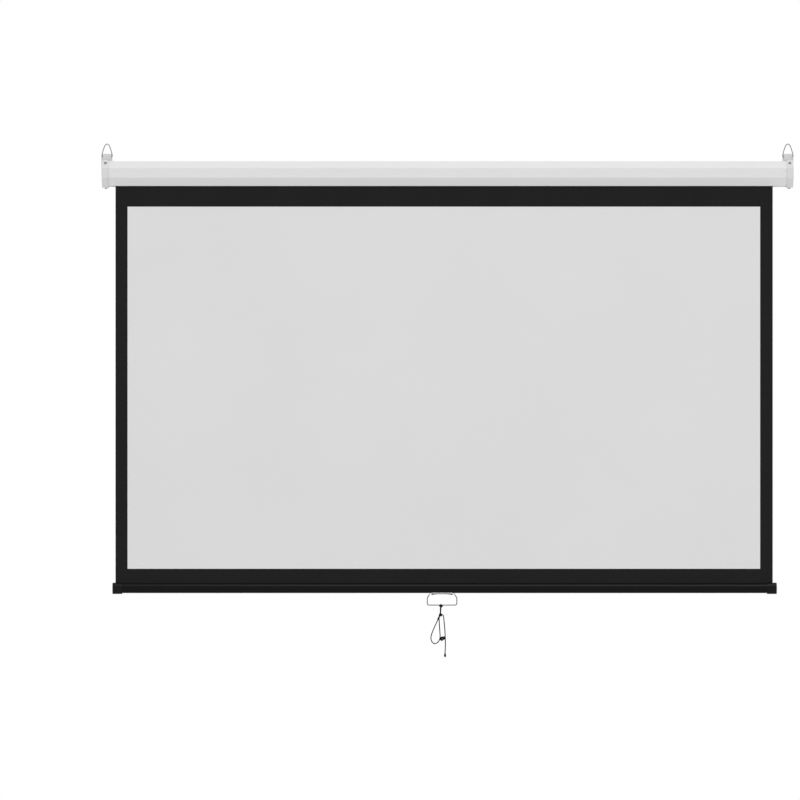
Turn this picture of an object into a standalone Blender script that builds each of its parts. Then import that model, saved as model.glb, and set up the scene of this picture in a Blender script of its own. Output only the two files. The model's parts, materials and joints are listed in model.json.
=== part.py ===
"""Pull-down projector screen, fully drawn down, as separate pieces in metres.

+X runs to the viewer's right, the picture faces -Y, +Z is up. The origin lies on the wall
plane (y = 0), midway between the two keyholes, at the height where their screws carry.
"""

import math

import bmesh
import bpy
from mathutils import Matrix, Vector

MM = 0.001
GAP = 0.3 * MM

# Octagonal end cap, seen from its end: depths are from the cap's front, heights from its underside.
CAP_HEIGHT = 80.8 * MM
CAP_DEPTH = 68.5 * MM
CAP_FRONT_LOW = 27.3 * MM
CAP_FRONT_HIGH = 57.8 * MM
CAP_CHAMFER_DEPTH = 21.0 * MM
CAP_TOP_BACK = 50.0 * MM
CAP_BOTTOM_BACK = 52.0 * MM
CAP_BACK_LOW = 14.0 * MM
CAP_BACK_HIGH = 57.8 * MM
CAP_EDGE_RADIUS = 1.8 * MM
CAP_END_X = 1017.0 * MM
CAP_END_WALL = 2.5 * MM
SKIRT_LENGTH = 18.5 * MM
SKIRT_WALL = 2.7 * MM

# Wall plate with its keyhole, at the back of each cap.
PLATE_THICKNESS = 3.0 * MM
PLATE_OVERLAP = 0.5 * MM
PLATE_INNER_X = 990.0 * MM
PLATE_OUTER_X = 1022.0 * MM
PLATE_TOP_Z = 20.0 * MM
PLATE_BOTTOM_Z = -58.0 * MM
PLATE_TAPER_Z = -36.0 * MM
PLATE_TAPER = 2.2 * MM
PLATE_CORNER_RADII = (0.0, 1.5 * MM, 8.0 * MM, 6.0 * MM, 3.0 * MM)
KEYHOLE_X = 1013.3 * MM
KEYHOLE_DROP = 10.0 * MM
KEYHOLE_HEAD_RADIUS = 5.4 * MM
KEYHOLE_NECK_RADIUS = 2.4 * MM

# Ear that carries the wire hanging loop.
EAR_X = 1004.0 * MM
EAR_WIDTH = 23.0 * MM
EAR_FRONT = 45.0 * MM
EAR_THICKNESS = 8.0 * MM
EAR_TOP_Z = 20.0 * MM
EAR_FOOT = 3.0 * MM
EAR_FOOT_RISE = 7.2 * MM
EAR_ROOT = 2.0 * MM
EAR_CORNER_RADIUS = 2.0 * MM
EAR_FILLET = 6.0 * MM
EAR_RAMP_TOP = -4.0 * MM
EAR_RAMP_FOOT = -25.0 * MM
LOOP_AXIS_Z = 11.0 * MM
LOOP_WIRE_RADIUS = 1.4 * MM
LOOP_HEIGHT = 38.0 * MM
LOOP_FOOT_HALF = 15.4 * MM
LOOP_END_HALF = 6.0 * MM

# Roll-formed casing.
CASING_CLEARANCE = SKIRT_WALL + GAP
CASING_WALL = 1.2 * MM
CASING_BEND_RADIUS = 2.2 * MM
SLOT_BEND_RADIUS = 0.9 * MM
CASING_HALF_LENGTH = 1014.0 * MM
SLOT_WIDTH = 10.0 * MM
SLOT_FLANGE = 7.0 * MM

# Pan-head screws that hold each cap.
SCREW_X = 1006.5 * MM
SCREW_HEAD_RADIUS = 4.0 * MM
SCREW_HEAD_HEIGHT = 2.6 * MM
SCREW_SHANK_RADIUS = 1.6 * MM
SCREW_LENGTH = 9.0 * MM
SCREW_POINT = 2.0 * MM
SCREW_HOLE_DEPTH = 10.0 * MM
TOP_SCREW_DEPTH = 12.5 * MM
BOTTOM_SCREW_DEPTH = 40.0 * MM

# Spring roller.
ROLLER_Y = -30.0 * MM
ROLLER_Z = -38.0 * MM
TUBE_RADIUS = 14.0 * MM
TUBE_WALL = 1.2 * MM
TUBE_LEFT_X = -986.0 * MM
TUBE_RIGHT_X = 960.0 * MM
PLUG_LENGTH = 15.0 * MM
PLUG_FLANGE = 3.7 * MM
SHAFT_RADIUS = 4.0 * MM
SHAFT_INNER_X = 640.0 * MM
SHAFT_OUTER_X = 1011.5 * MM
TANG_LENGTH = 20.0 * MM
TANG_THICKNESS = 3.6 * MM
BOSS_RADIUS = 11.0 * MM
BOSS_INNER_X = 998.8 * MM
BOSS_ROOT = 0.7 * MM
BUSH_RADIUS = 7.0 * MM
BUSH_FLANGE_RADIUS = 8.8 * MM
BUSH_FLANGE = 1.5 * MM
BUSH_END_GAP = 1.0 * MM
IDLER_PIN_OUTER_X = -1009.0 * MM
IDLER_PIN_LENGTH = 34.0 * MM
IDLER_PIN_CHAMFER = 0.8 * MM

# Ratchet lock between the fixed shaft and the roller's right-hand plug.
RATCHET_X = 968.0 * MM
RATCHET_THICKNESS = 4.0 * MM
RATCHET_RADIUS = 8.0 * MM
RATCHET_NOTCHES = 2
NOTCH_DEPTH = 2.4 * MM
NOTCH_FLOOR_ANGLE = 14.0
NOTCH_RAMP_ANGLE = 44.0
NOTCH_FACE_LEAN = 4.3
PAWL_PIVOT_Y = -8.0 * MM
PAWL_PIVOT_Z = 9.8 * MM
PAWL_PIN_RADIUS = 1.5 * MM
PAWL_PIN_ROOT = 0.5 * MM
PAWL_THICKNESS = 2.6 * MM
PAWL_HEEL_RADIUS = 3.2 * MM
PAWL_NOSE_WIDTH = 1.6 * MM
PAWL_NOSE_CLEARANCE = 0.6 * MM
PAWL_LIFT = math.radians(20.0)

# Torsion spring on the shaft, inside the tube.
SPRING_START_X = 660.0 * MM
SPRING_END_X = 944.0 * MM
SPRING_TURNS = 22
SPRING_POINTS_PER_TURN = 10
SPRING_RADIUS = 8.0 * MM
SPRING_WIRE_RADIUS = 0.9 * MM
COLLAR_LENGTH = 15.0 * MM
COLLAR_RADIUS = 10.0 * MM

# Projection fabric, its black border and the turns left on the roller.
FABRIC_LEFT_X = -977.6 * MM
FABRIC_RIGHT_X = 957.3 * MM
FABRIC_THICKNESS = 0.6 * MM
PICTURE_LEFT_X = -942.1 * MM
PICTURE_RIGHT_X = 920.3 * MM
PICTURE_TOP_Z = -136.8 * MM
PICTURE_BOTTOM_Z = -1202.9 * MM
WRAP_LAYER = 0.35 * MM
WRAP_PITCH = 0.7 * MM
WRAP_TURNS = 1.5
WRAP_POINTS_PER_TURN = 40

# Weight bar: an extrusion with a groove for the hem, its section centred on the fabric.
BAR_LEFT_X = -983.9 * MM
BAR_RIGHT_X = 966.5 * MM
BAR_Z = -1260.4 * MM
BAR_HALF_DEPTH = 9.5 * MM
BAR_HALF_HEIGHT = 14.4 * MM
BAR_WALL = 1.6 * MM
BAR_FLAT_Z = -14.0 * MM
GROOVE_WIDTH = 4.0 * MM
POCKET_RADIUS = 4.6 * MM
POCKET_Z = 6.2 * MM
HEM_RADIUS = 3.8 * MM
HEM_WALL = 0.8 * MM
HEM_ROD_RADIUS = 2.6 * MM
BAR_CAP_LENGTH = 28.0 * MM
BAR_CAP_WALL = 2.1 * MM
BAR_CAP_SIDE_WALL = 1.5 * MM
BAR_CAP_END_WALL = 2.0 * MM
BAR_CAP_EDGE_RADIUS = 1.4 * MM
BAR_CAP_NOTCH_Z = 4.0 * MM
BAR_CAP_NOTCH_REACH = 1.5 * MM
HEM_ROD_REACH = 2.0 * MM

# Wire pull handle below the bar, measured from the axis of its top wire.
HANDLE_X = -16.2 * MM
HANDLE_AXIS_Y = -8.0 * MM
HANDLE_AXIS_Z = -14.2 * MM
HANDLE_WIRE_RADIUS = 1.5 * MM
HANDLE_TOP_HALF = 34.3 * MM
HANDLE_HALF_WIDTH = 43.5 * MM
HANDLE_SHOULDER_DROP = 13.0 * MM
HANDLE_HEIGHT = 34.8 * MM
HANDLE_RADII = [r * MM for r in (9.0, 9.0, 14.0, 5.5, 5.5, 14.0)]
BRACKET_HALF_LENGTH = 31.0 * MM
BRACKET_THICKNESS = 1.0 * MM
BRACKET_BACK_Y = 5.5 * MM
BRACKET_SLOPE = 1.2 * MM
BRACKET_END_DROOP = 2.6 * MM
BRACKET_STATIONS = 13
RIVET_X = 20.0 * MM
RIVET_Y = 0.5 * MM
RIVET_HEAD_RADIUS = 2.8 * MM
RIVET_HEAD_HEIGHT = 1.6 * MM
RIVET_SHANK_RADIUS = 1.5 * MM
RIVET_SHANK_TOP = 3.0 * MM

# Limp pull cord below the handle. Its route runs over (x, y, z) from the handle's lower wire.
CORD_RADIUS = 1.3 * MM
CORD_POINTS = 76
BEAD_RADIUS = 3.3 * MM
BEAD_LENGTH = 14.6 * MM
BEAD_NECK = 1.5 * MM
BEAD_DROOP = 1.9
CORD_ROUTE = [
    (-3.2, 0.0, -1.9),
    (-3.4, 0.0, -9.0),
    (-3.9, 0.1, -18.0),
    (-5.2, 0.7, -27.0),
    (-10.2, 1.6, -39.0),
    (-17.0, 2.0, -53.0),
    (-23.7, 1.8, -68.0),
    (-29.4, 1.1, -82.0),
    (-32.7, 0.2, -94.6),
    (-30.9, -0.5, -105.6),
    (-24.6, -1.2, -112.7),
    (-16.6, -1.9, -112.2),
    (-10.6, -2.3, -106.8),
    (-6.8, -2.5, -99.6),
    (-5.8, -2.5, -91.0),
    (-6.4, -2.5, -80.0),
    (-7.3, -2.5, -66.0),
    (-8.2, -2.6, -52.0),
    (-8.9, -2.7, -41.0),
    (-8.6, -2.7, -33.9),
    (-6.7, -2.7, -29.1),
    (-2.2, -2.7, -27.2),
    (2.3, -2.6, -29.1),
    (4.2, -2.4, -33.8),
    (5.1, -2.0, -40.5),
    (5.9, -1.5, -49.0),
    (7.3, -0.8, -62.0),
    (8.4, 0.0, -77.0),
    (9.1, 0.8, -91.0),
    (9.7, 1.0, -104.0),
    (9.9, 0.5, -117.0),
    (9.4, 0.1, -129.0),
    (8.8, 0.0, -138.0),
]

CAP_TOP_Z = 0.0
CAP_BOTTOM_Z = CAP_TOP_Z - CAP_HEIGHT
CAP_FRONT_Y = -(PLATE_THICKNESS - PLATE_OVERLAP + CAP_DEPTH)
FABRIC_Y = ROLLER_Y - TUBE_RADIUS - GAP - WRAP_PITCH * WRAP_TURNS - GAP - FABRIC_THICKNESS / 2
FABRIC_TOP_Z = ROLLER_Z - GAP
FABRIC_BOTTOM_Z = BAR_Z + POCKET_Z + HEM_RADIUS + GAP


def side_word(side):
    return "right" if side > 0 else "left"


def clear_scene():
    for obj in list(bpy.data.objects):
        bpy.data.objects.remove(obj, do_unlink=True)


def linear_colour(hex_code):
    """A #RRGGBB colour as linear red, green, blue, alpha."""
    channels = [int(hex_code[i : i + 2], 16) / 255 for i in (1, 3, 5)]
    linear = [c / 12.92 if c <= 0.04045 else ((c + 0.055) / 1.055) ** 2.4 for c in channels]
    return (*linear, 1.0)


def make_material(name, hex_code, roughness, metallic=0.0):
    material = bpy.data.materials.new(name)
    material.use_nodes = True
    shader = material.node_tree.nodes["Principled BSDF"]
    shader.inputs["Base Color"].default_value = linear_colour(hex_code)
    shader.inputs["Roughness"].default_value = roughness
    shader.inputs["Metallic"].default_value = metallic
    material.diffuse_color = linear_colour(hex_code)
    return material


def make_empty(name, location, parent=None):
    empty = bpy.data.objects.new(name, None)
    empty.empty_display_size = 0.02
    empty.location = location
    empty.parent = parent
    bpy.context.scene.collection.objects.link(empty)
    return empty


def add_object(name, mesh, material, parent, location=(0, 0, 0), smooth_angle=None):
    """Links a mesh as a named piece under its parent; round pieces get smooth shading."""
    if material is not None:
        mesh.materials.append(material)
    if smooth_angle is not None:
        mesh.shade_smooth()
        mesh.set_sharp_from_angle(angle=math.radians(smooth_angle))
    obj = bpy.data.objects.new(name, mesh)
    obj.location = location
    obj.parent = parent
    bpy.context.scene.collection.objects.link(obj)
    return obj


def add_cutter(name, mesh, parent, location=(0, 0, 0)):
    cutter = add_object(name, mesh, None, parent, location)
    cutter.hide_render = True
    cutter.display_type = "WIRE"
    return cutter


def combine(obj, other, operation):
    """Adds one Boolean step to a piece; the other shape is kept as a hidden helper."""
    modifier = obj.modifiers.new(f"{operation.lower()}_{other.name}", "BOOLEAN")
    modifier.operation = operation
    modifier.solver = "EXACT"
    modifier.object = other


def finish_mesh(name, bm):
    """Turns all faces outwards and stores the bmesh as a mesh."""
    bmesh.ops.recalc_face_normals(bm, faces=bm.faces)
    mesh = bpy.data.meshes.new(name)
    bm.to_mesh(mesh)
    bm.free()
    return mesh


def arc(centre, radius, start, end, steps):
    """Points of an arc in a plane, both ends included; the angles are in degrees."""
    points = []
    for i in range(steps + 1):
        angle = math.radians(start + (end - start) * i / steps)
        points.append((centre[0] + radius * math.cos(angle), centre[1] + radius * math.sin(angle)))
    return points


def rounded_path(corners, radii, steps=4, closed=False):
    """A 2-D path through the corners, each corner rounded by its radius."""
    count = len(corners)
    path = []
    for i, corner in enumerate(corners):
        here = Vector(corner)
        if radii[i] == 0 or (not closed and i in (0, count - 1)):
            path.append(tuple(here))
            continue
        before = (Vector(corners[i - 1]) - here).normalized()
        after = (Vector(corners[(i + 1) % count]) - here).normalized()
        half = before.angle(after) / 2
        reach = radii[i] / math.tan(half)
        middle = here + (before + after).normalized() * (radii[i] / math.sin(half))
        first = here + before * reach - middle
        last = here + after * reach - middle
        sweep = first.angle_signed(last)
        for step in range(steps + 1):
            turned = first.copy()
            turned.rotate(Matrix.Rotation(-sweep * step / steps, 2))
            path.append(tuple(middle + turned))
    return path


def offset_path(points, distance, closed):
    """The path moved sideways by a distance, to its left, with mitred corners."""
    count = len(points)
    moved = []
    for i in range(count):
        here = Vector(points[i])
        before = here - Vector(points[i - 1]) if closed or i > 0 else None
        after = Vector(points[(i + 1) % count]) - here if closed or i < count - 1 else None
        before = after if before is None else before
        after = before if after is None else after
        left_before = Vector((-before.y, before.x)).normalized()
        left_after = Vector((-after.y, after.x)).normalized()
        mitre = left_before + left_after
        moved.append(tuple(here + mitre * (2 * distance / mitre.length_squared)))
    return moved


def strip_outline(path, thickness):
    """The closed outline of a sheet of even thickness that follows an open path."""
    left = offset_path(path, thickness / 2, closed=False)
    right = offset_path(path, -thickness / 2, closed=False)
    return left + right[::-1]


def prism_bmesh(outline, start, end, axis="X"):
    """An outline extruded along an axis: (y, z) along X, (x, z) along Y, (x, y) along Z."""
    place = {
        "X": lambda a, b, t: (t, a, b),
        "Y": lambda a, b, t: (a, t, b),
        "Z": lambda a, b, t: (a, b, t),
    }[axis]
    bm = bmesh.new()
    ring_start = [bm.verts.new(place(a, b, start)) for a, b in outline]
    ring_end = [bm.verts.new(place(a, b, end)) for a, b in outline]
    count = len(outline)
    for i in range(count):
        j = (i + 1) % count
        bm.faces.new((ring_start[i], ring_start[j], ring_end[j], ring_end[i]))
    bm.faces.new(ring_start)
    bm.faces.new(ring_end)
    bmesh.ops.recalc_face_normals(bm, faces=bm.faces)
    return bm


def prism(name, outline, start, end, axis="X"):
    return finish_mesh(name, prism_bmesh(outline, start, end, axis))


def turned(name, profile, segments, hollow=False):
    """A profile of (x, radius) points turned about the X axis; a hollow one is a closed ring."""
    bm = bmesh.new()
    rings = []
    for x, radius in profile:
        if radius == 0:
            rings.append([bm.verts.new((x, 0, 0))])
            continue
        ring = []
        for i in range(segments):
            angle = 2 * math.pi * i / segments
            ring.append(bm.verts.new((x, radius * math.cos(angle), radius * math.sin(angle))))
        rings.append(ring)
    pairs = list(zip(rings, rings[1:]))
    if hollow:
        pairs.append((rings[-1], rings[0]))
    for first, second in pairs:
        for i in range(segments):
            j = (i + 1) % segments
            corners = [first[i % len(first)], first[j % len(first)]]
            corners += [second[j % len(second)], second[i % len(second)]]
            unique = list(dict.fromkeys(corners))
            if len(unique) > 2:
                bm.faces.new(unique)
    return finish_mesh(name, bm)


def rod_profile(start, end, radius):
    """The profile of a plain round rod."""
    return [(start, 0), (start, radius), (end, radius), (end, 0)]


def tube_sleeve(name, inner, outer, start, end, segments):
    """A plain sleeve about the X axis."""
    profile = [(start, inner), (start, outer), (end, outer), (end, inner)]
    return turned(name, profile, segments, hollow=True)


def swept_wire(name, points, radius, sides, closed=False):
    """A round wire along 3-D points, with a frame carried along so that it doesn't twist."""
    path = [Vector(p) for p in points]
    count = len(path)
    tangents = []
    for i in range(count):
        before = path[i - 1] if closed or i > 0 else path[i]
        after = path[(i + 1) % count] if closed or i < count - 1 else path[i]
        tangents.append((after - before).normalized())
    normal = tangents[0].orthogonal().normalized()
    bm = bmesh.new()
    rings = []
    for i in range(count):
        normal = (normal - tangents[i] * normal.dot(tangents[i])).normalized()
        side = tangents[i].cross(normal)
        ring = []
        for k in range(sides):
            angle = 2 * math.pi * k / sides
            offset = normal * math.cos(angle) + side * math.sin(angle)
            ring.append(bm.verts.new(path[i] + offset * radius))
        rings.append(ring)
    for i in range(count if closed else count - 1):
        first = rings[i]
        second = rings[(i + 1) % count]
        shift = 0
        if closed and i == count - 1:
            gaps = [(first[0].co - v.co).length for v in second]
            shift = gaps.index(min(gaps))
        for k in range(sides):
            j = (k + 1) % sides
            corners = (first[k], first[j], second[(j + shift) % sides], second[(k + shift) % sides])
            bm.faces.new(corners)
    if not closed:
        bm.faces.new(rings[0])
        bm.faces.new(rings[-1])
    return finish_mesh(name, bm)


def smooth_curve(points, count):
    """Evenly spaced points on the Catmull-Rom curve through the route's points."""
    knots = [Vector(p) for p in points]
    knots = [2 * knots[0] - knots[1]] + knots + [2 * knots[-1] - knots[-2]]
    fine = []
    for i in range(1, len(knots) - 2):
        a, b, c, d = knots[i - 1 : i + 3]
        for step in range(40):
            t = step / 40
            steady = 2 * b + (c - a) * t
            bent = (2 * a - 5 * b + 4 * c - d) * t * t + (3 * b - a - 3 * c + d) * t**3
            fine.append((steady + bent) / 2)
    fine.append(knots[-2])
    lengths = [0.0]
    for first, second in zip(fine, fine[1:]):
        lengths.append(lengths[-1] + (second - first).length)
    spaced = []
    j = 0
    for i in range(count):
        target = lengths[-1] * i / (count - 1)
        while j < len(lengths) - 2 and lengths[j + 1] < target:
            j += 1
        share = (target - lengths[j]) / (lengths[j + 1] - lengths[j])
        spaced.append(fine[j].lerp(fine[j + 1], share))
    return spaced


def cap_outline():
    """The octagon of the end cap as (y, z), from its lower front corner upwards."""
    front = CAP_FRONT_Y
    low = CAP_BOTTOM_Z
    return [
        (front, low + CAP_FRONT_LOW),
        (front, low + CAP_FRONT_HIGH),
        (front + CAP_CHAMFER_DEPTH, CAP_TOP_Z),
        (front + CAP_TOP_BACK, CAP_TOP_Z),
        (front + CAP_DEPTH, low + CAP_BACK_HIGH),
        (front + CAP_DEPTH, low + CAP_BACK_LOW),
        (front + CAP_BOTTOM_BACK, low),
        (front + CAP_CHAMFER_DEPTH, low),
    ]


def casing_section():
    """The casing's sheet section: the octagon inside the caps, open at the screen slot."""
    middle = offset_path(cap_outline(), -(CASING_CLEARANCE + CASING_WALL / 2), closed=True)
    front_lip = middle[7]
    lip_top = front_lip[1] + SLOT_FLANGE
    back_lip = (front_lip[0] + SLOT_WIDTH + CASING_WALL, front_lip[1])
    corners = [(front_lip[0], lip_top), front_lip, *middle[:7], back_lip, (back_lip[0], lip_top)]
    radii = [0, SLOT_BEND_RADIUS] + [CASING_BEND_RADIUS] * 7 + [SLOT_BEND_RADIUS, 0]
    return strip_outline(rounded_path(corners, radii, steps=3), CASING_WALL)


def make_casing(material, root):
    mesh = prism("casing_shell", casing_section(), -CASING_HALF_LENGTH, CASING_HALF_LENGTH)
    casing = add_object("casing_shell", mesh, material, root, smooth_angle=20)
    for side in (-1, 1):
        for cutter in screw_hole_cutters(side, root):
            combine(casing, cutter, "DIFFERENCE")
    return casing


def screw_seats(side):
    """Where each cap screw enters, and the way its head faces."""
    rise = CAP_HEIGHT - CAP_FRONT_HIGH
    slope = Vector((0, CAP_CHAMFER_DEPTH, rise))
    top_z = CAP_BOTTOM_Z + CAP_FRONT_HIGH + rise * TOP_SCREW_DEPTH / CAP_CHAMFER_DEPTH
    top = Vector((side * SCREW_X, CAP_FRONT_Y + TOP_SCREW_DEPTH, top_z))
    top_out = Vector((0, -slope.z, slope.y)).normalized()
    bottom = Vector((side * SCREW_X, CAP_FRONT_Y + BOTTOM_SCREW_DEPTH, CAP_BOTTOM_Z))
    return {"top": (top, top_out), "bottom": (bottom, Vector((0, 0, -1)))}


def aim_x(obj, direction):
    """Turns a piece made along +X so that it points along a direction."""
    obj.rotation_mode = "QUATERNION"
    obj.rotation_quaternion = direction.to_track_quat("X", "Z")


def screw_hole_cutters(side, root):
    """The clearance holes of one end's screws, through the cap and the casing."""
    cutters = []
    for place, (seat, outward) in screw_seats(side).items():
        name = f"screw_hole_{place}_{side_word(side)}"
        mesh = turned(name, rod_profile(-SCREW_HOLE_DEPTH, SCREW_HEAD_HEIGHT, SCREW_SHANK_RADIUS + GAP), 16)
        cutter = add_cutter(name, mesh, root, seat)
        aim_x(cutter, outward)
        cutters.append(cutter)
    return cutters


def make_cap_screw(name, seat, outward, material, root):
    """A pan-head screw: a domed head on a straight shank with a pointed end."""
    flank = GAP + 0.45 * SCREW_HEAD_HEIGHT
    profile = [(-SCREW_LENGTH, 0), (-SCREW_LENGTH + SCREW_POINT, SCREW_SHANK_RADIUS)]
    profile += [(GAP, SCREW_SHANK_RADIUS), (GAP, SCREW_HEAD_RADIUS)]
    for angle in (0, 45, 72, 90):
        crown = (GAP + SCREW_HEAD_HEIGHT - flank) * math.sin(math.radians(angle))
        shrink = 0.35 + 0.65 * math.cos(math.radians(angle))
        profile.append((flank + crown, SCREW_HEAD_RADIUS * shrink))
    profile.append((GAP + SCREW_HEAD_HEIGHT, 0))
    mesh = turned(name, profile, 16)
    screw = add_object(name, mesh, material, root, seat, smooth_angle=35)
    aim_x(screw, outward)
    return screw


def cap_cup_mesh(name, side):
    """The cap's solid octagonal block with rounded outer edges; its inner rim stays sharp."""
    inner_x = side * (CAP_END_X - SKIRT_LENGTH)
    bm = prism_bmesh(cap_outline(), inner_x, side * CAP_END_X)
    edges = []
    for edge in bm.edges:
        on_rim = all(abs(v.co.x - inner_x) < 1e-6 for v in edge.verts)
        if not on_rim:
            edges.append(edge)
    bmesh.ops.bevel(
        bm,
        geom=edges,
        offset=CAP_EDGE_RADIUS,
        offset_type="OFFSET",
        segments=2,
        profile=0.5,
        affect="EDGES",
    )
    return finish_mesh(name, bm)


def plate_outline(side):
    """The wall plate from the front: rounded top corners and a tapered outer foot."""
    corners = [
        (side * PLATE_INNER_X, PLATE_BOTTOM_Z),
        (side * (PLATE_OUTER_X - PLATE_TAPER), PLATE_BOTTOM_Z),
        (side * PLATE_OUTER_X, PLATE_TAPER_Z),
        (side * PLATE_OUTER_X, PLATE_TOP_Z),
        (side * PLATE_INNER_X, PLATE_TOP_Z),
    ]
    return rounded_path(corners, PLATE_CORNER_RADII, steps=4, closed=True)


def ear_outline(side):
    """The ear from the front: upright sides that flare into a foot on the inboard side."""
    half = EAR_WIDTH / 2
    base = CAP_TOP_Z - EAR_ROOT
    corners = [
        (side * (EAR_X + half), base),
        (side * (EAR_X + half), EAR_TOP_Z),
        (side * (EAR_X - half), EAR_TOP_Z),
        (side * (EAR_X - half), CAP_TOP_Z + EAR_FOOT_RISE),
        (side * (EAR_X - half - EAR_FOOT), CAP_TOP_Z),
        (side * (EAR_X - half - EAR_FOOT), base),
    ]
    radii = [0, EAR_CORNER_RADIUS, EAR_CORNER_RADIUS, EAR_FILLET, 0, 0]
    return rounded_path(corners, radii, steps=3, closed=True)


def keyhole_outline(side):
    """A round hole for the screw head with a narrow neck above it, ending at the hanging line."""
    x = side * KEYHOLE_X
    low = -KEYHOLE_DROP
    join = math.degrees(math.asin(KEYHOLE_NECK_RADIUS / KEYHOLE_HEAD_RADIUS))
    head = arc((x, low), KEYHOLE_HEAD_RADIUS, 90 + join, 450 - join, 20)
    neck = arc((x, 0), KEYHOLE_NECK_RADIUS, 0, 180, 8)
    return head + neck


def make_end_cap(side, material, root):
    """A moulded cap: octagonal cup, wall plate with keyhole, ear, and a boss for the roller."""
    word = side_word(side)
    name = f"end_cap_{word}"
    cap = add_object(name, cap_cup_mesh(name, side), material, root, smooth_angle=32)
    roller_place = (0, ROLLER_Y, ROLLER_Z)

    cavity = offset_path(cap_outline(), -SKIRT_WALL, closed=True)
    mouth_x = side * (CAP_END_X - SKIRT_LENGTH - MM)
    floor_x = side * (CAP_END_X - CAP_END_WALL)
    mesh = prism(f"cap_cavity_{word}", cavity, mouth_x, floor_x)
    combine(cap, add_cutter(mesh.name, mesh, root), "DIFFERENCE")

    mesh = prism(f"wall_plate_{word}", plate_outline(side), -PLATE_THICKNESS, 0, "Y")
    combine(cap, add_cutter(mesh.name, mesh, root), "UNION")

    ear_front = CAP_FRONT_Y + EAR_FRONT
    ear_back = ear_front + EAR_THICKNESS
    mesh = prism(f"ear_{word}", ear_outline(side), ear_front, ear_back, "Y")
    combine(cap, add_cutter(mesh.name, mesh, root), "UNION")

    boss = rod_profile(side * BOSS_INNER_X, floor_x + side * BOSS_ROOT, BOSS_RADIUS)
    mesh = turned(f"boss_{word}", boss, 32)
    combine(cap, add_cutter(mesh.name, mesh, root, roller_place), "UNION")

    mesh = prism(f"keyhole_{word}", keyhole_outline(side), -PLATE_THICKNESS - MM, MM, "Y")
    combine(cap, add_cutter(mesh.name, mesh, root), "DIFFERENCE")

    mesh = prism(f"ear_ramp_{word}", ear_ramp_outline(side), ear_front, ear_back, "Y")
    combine(cap, add_cutter(mesh.name, mesh, root), "DIFFERENCE")

    reach = EAR_WIDTH / 2 + EAR_FOOT + MM
    mesh = turned(f"loop_hole_{word}", rod_profile(-reach, reach, LOOP_WIRE_RADIUS + GAP), 16)
    place = (side * EAR_X, ear_front + EAR_THICKNESS / 2, LOOP_AXIS_Z)
    combine(cap, add_cutter(mesh.name, mesh, root, place), "DIFFERENCE")

    mesh = socket_cutter_mesh(side)
    combine(cap, add_cutter(mesh.name, mesh, root, roller_place), "DIFFERENCE")

    for place in ("top", "bottom"):
        combine(cap, bpy.data.objects[f"screw_hole_{place}_{word}"], "DIFFERENCE")
    return cap


def ear_ramp_outline(side):
    """The slanting cut in the end face below the ear, flush with the ear's side at its top."""
    flush_x = side * (EAR_X + EAR_WIDTH / 2)
    end_x = side * CAP_END_X
    proud_x = side * (CAP_END_X + MM)
    return [
        (flush_x, CAP_TOP_Z + MM),
        (flush_x, EAR_RAMP_TOP),
        (end_x, EAR_RAMP_FOOT),
        (proud_x, EAR_RAMP_FOOT),
        (proud_x, CAP_TOP_Z + MM),
    ]


def socket_cutter_mesh(side):
    """The boss's hollow: a slot that holds the flat tang, or a round seat for the bush."""
    name = f"roller_socket_{side_word(side)}"
    mouth = side * (BOSS_INNER_X - MM)
    if side < 0:
        floor = side * (CAP_END_X - CAP_END_WALL - BUSH_END_GAP / 2)
        return turned(name, rod_profile(mouth, floor, BUSH_RADIUS + GAP), 32)
    half_y = TANG_THICKNESS / 2 + GAP
    half_z = SHAFT_RADIUS + GAP
    slot = [(-half_y, -half_z), (half_y, -half_z), (half_y, half_z), (-half_y, half_z)]
    return prism(name, slot, mouth, SHAFT_OUTER_X + GAP)


def loop_points():
    """The arched wire loop from the front, from one end in the ear round to the other."""
    foot = LOOP_FOOT_HALF
    half = [
        (-LOOP_END_HALF, 0),
        (-foot + 3.0 * MM, 0),
        (-foot + 0.9 * MM, 0.9 * MM),
        (-foot, 3.2 * MM),
        (-foot + 1.0 * MM, 8.5 * MM),
        (-0.80 * foot, 17.0 * MM),
        (-0.61 * foot, 26.0 * MM),
        (-0.40 * foot, 33.5 * MM),
        (-0.17 * foot, 37.3 * MM),
    ]
    top = [(0, LOOP_HEIGHT)]
    other = [(-x, z) for x, z in half[::-1]]
    return [(x, 0, z) for x, z in half + top + other]


def make_hanging_loop(side, material, axis):
    name = f"hanging_loop_{side_word(side)}"
    mesh = swept_wire(name, smooth_curve(loop_points(), 44), LOOP_WIRE_RADIUS, 10)
    return add_object(name, mesh, material, axis, smooth_angle=60)


def make_roller_tube(material, axis):
    mesh = tube_sleeve(
        "roller_tube", TUBE_RADIUS - TUBE_WALL, TUBE_RADIUS, TUBE_LEFT_X, TUBE_RIGHT_X, 40
    )
    return add_object("roller_tube", mesh, material, axis, smooth_angle=30)


def make_roller_plug(side, material, axis):
    """A flanged plug in the tube's end, bored for the pin or the shaft."""
    end = TUBE_RIGHT_X if side > 0 else TUBE_LEFT_X
    body = TUBE_RADIUS - TUBE_WALL - GAP
    bore = SHAFT_RADIUS + GAP
    near = end + side * GAP
    far = near + side * PLUG_FLANGE
    inner = end - side * PLUG_LENGTH
    profile = [(inner, bore), (inner, body), (near, body), (near, TUBE_RADIUS)]
    profile += [(far, TUBE_RADIUS), (far, bore)]
    name = f"roller_plug_{side_word(side)}"
    plug = add_object(name, turned(name, profile, 36, hollow=True), material, axis, smooth_angle=30)
    if side > 0:
        pin = rod_profile(far - PAWL_PIN_ROOT, RATCHET_X + RATCHET_THICKNESS, PAWL_PIN_RADIUS)
        mesh = turned("pawl_pin", pin, 14)
        place = (0, PAWL_PIVOT_Y, PAWL_PIVOT_Z)
        combine(plug, add_cutter("pawl_pin", mesh, axis, place), "UNION")
    return plug


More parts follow.
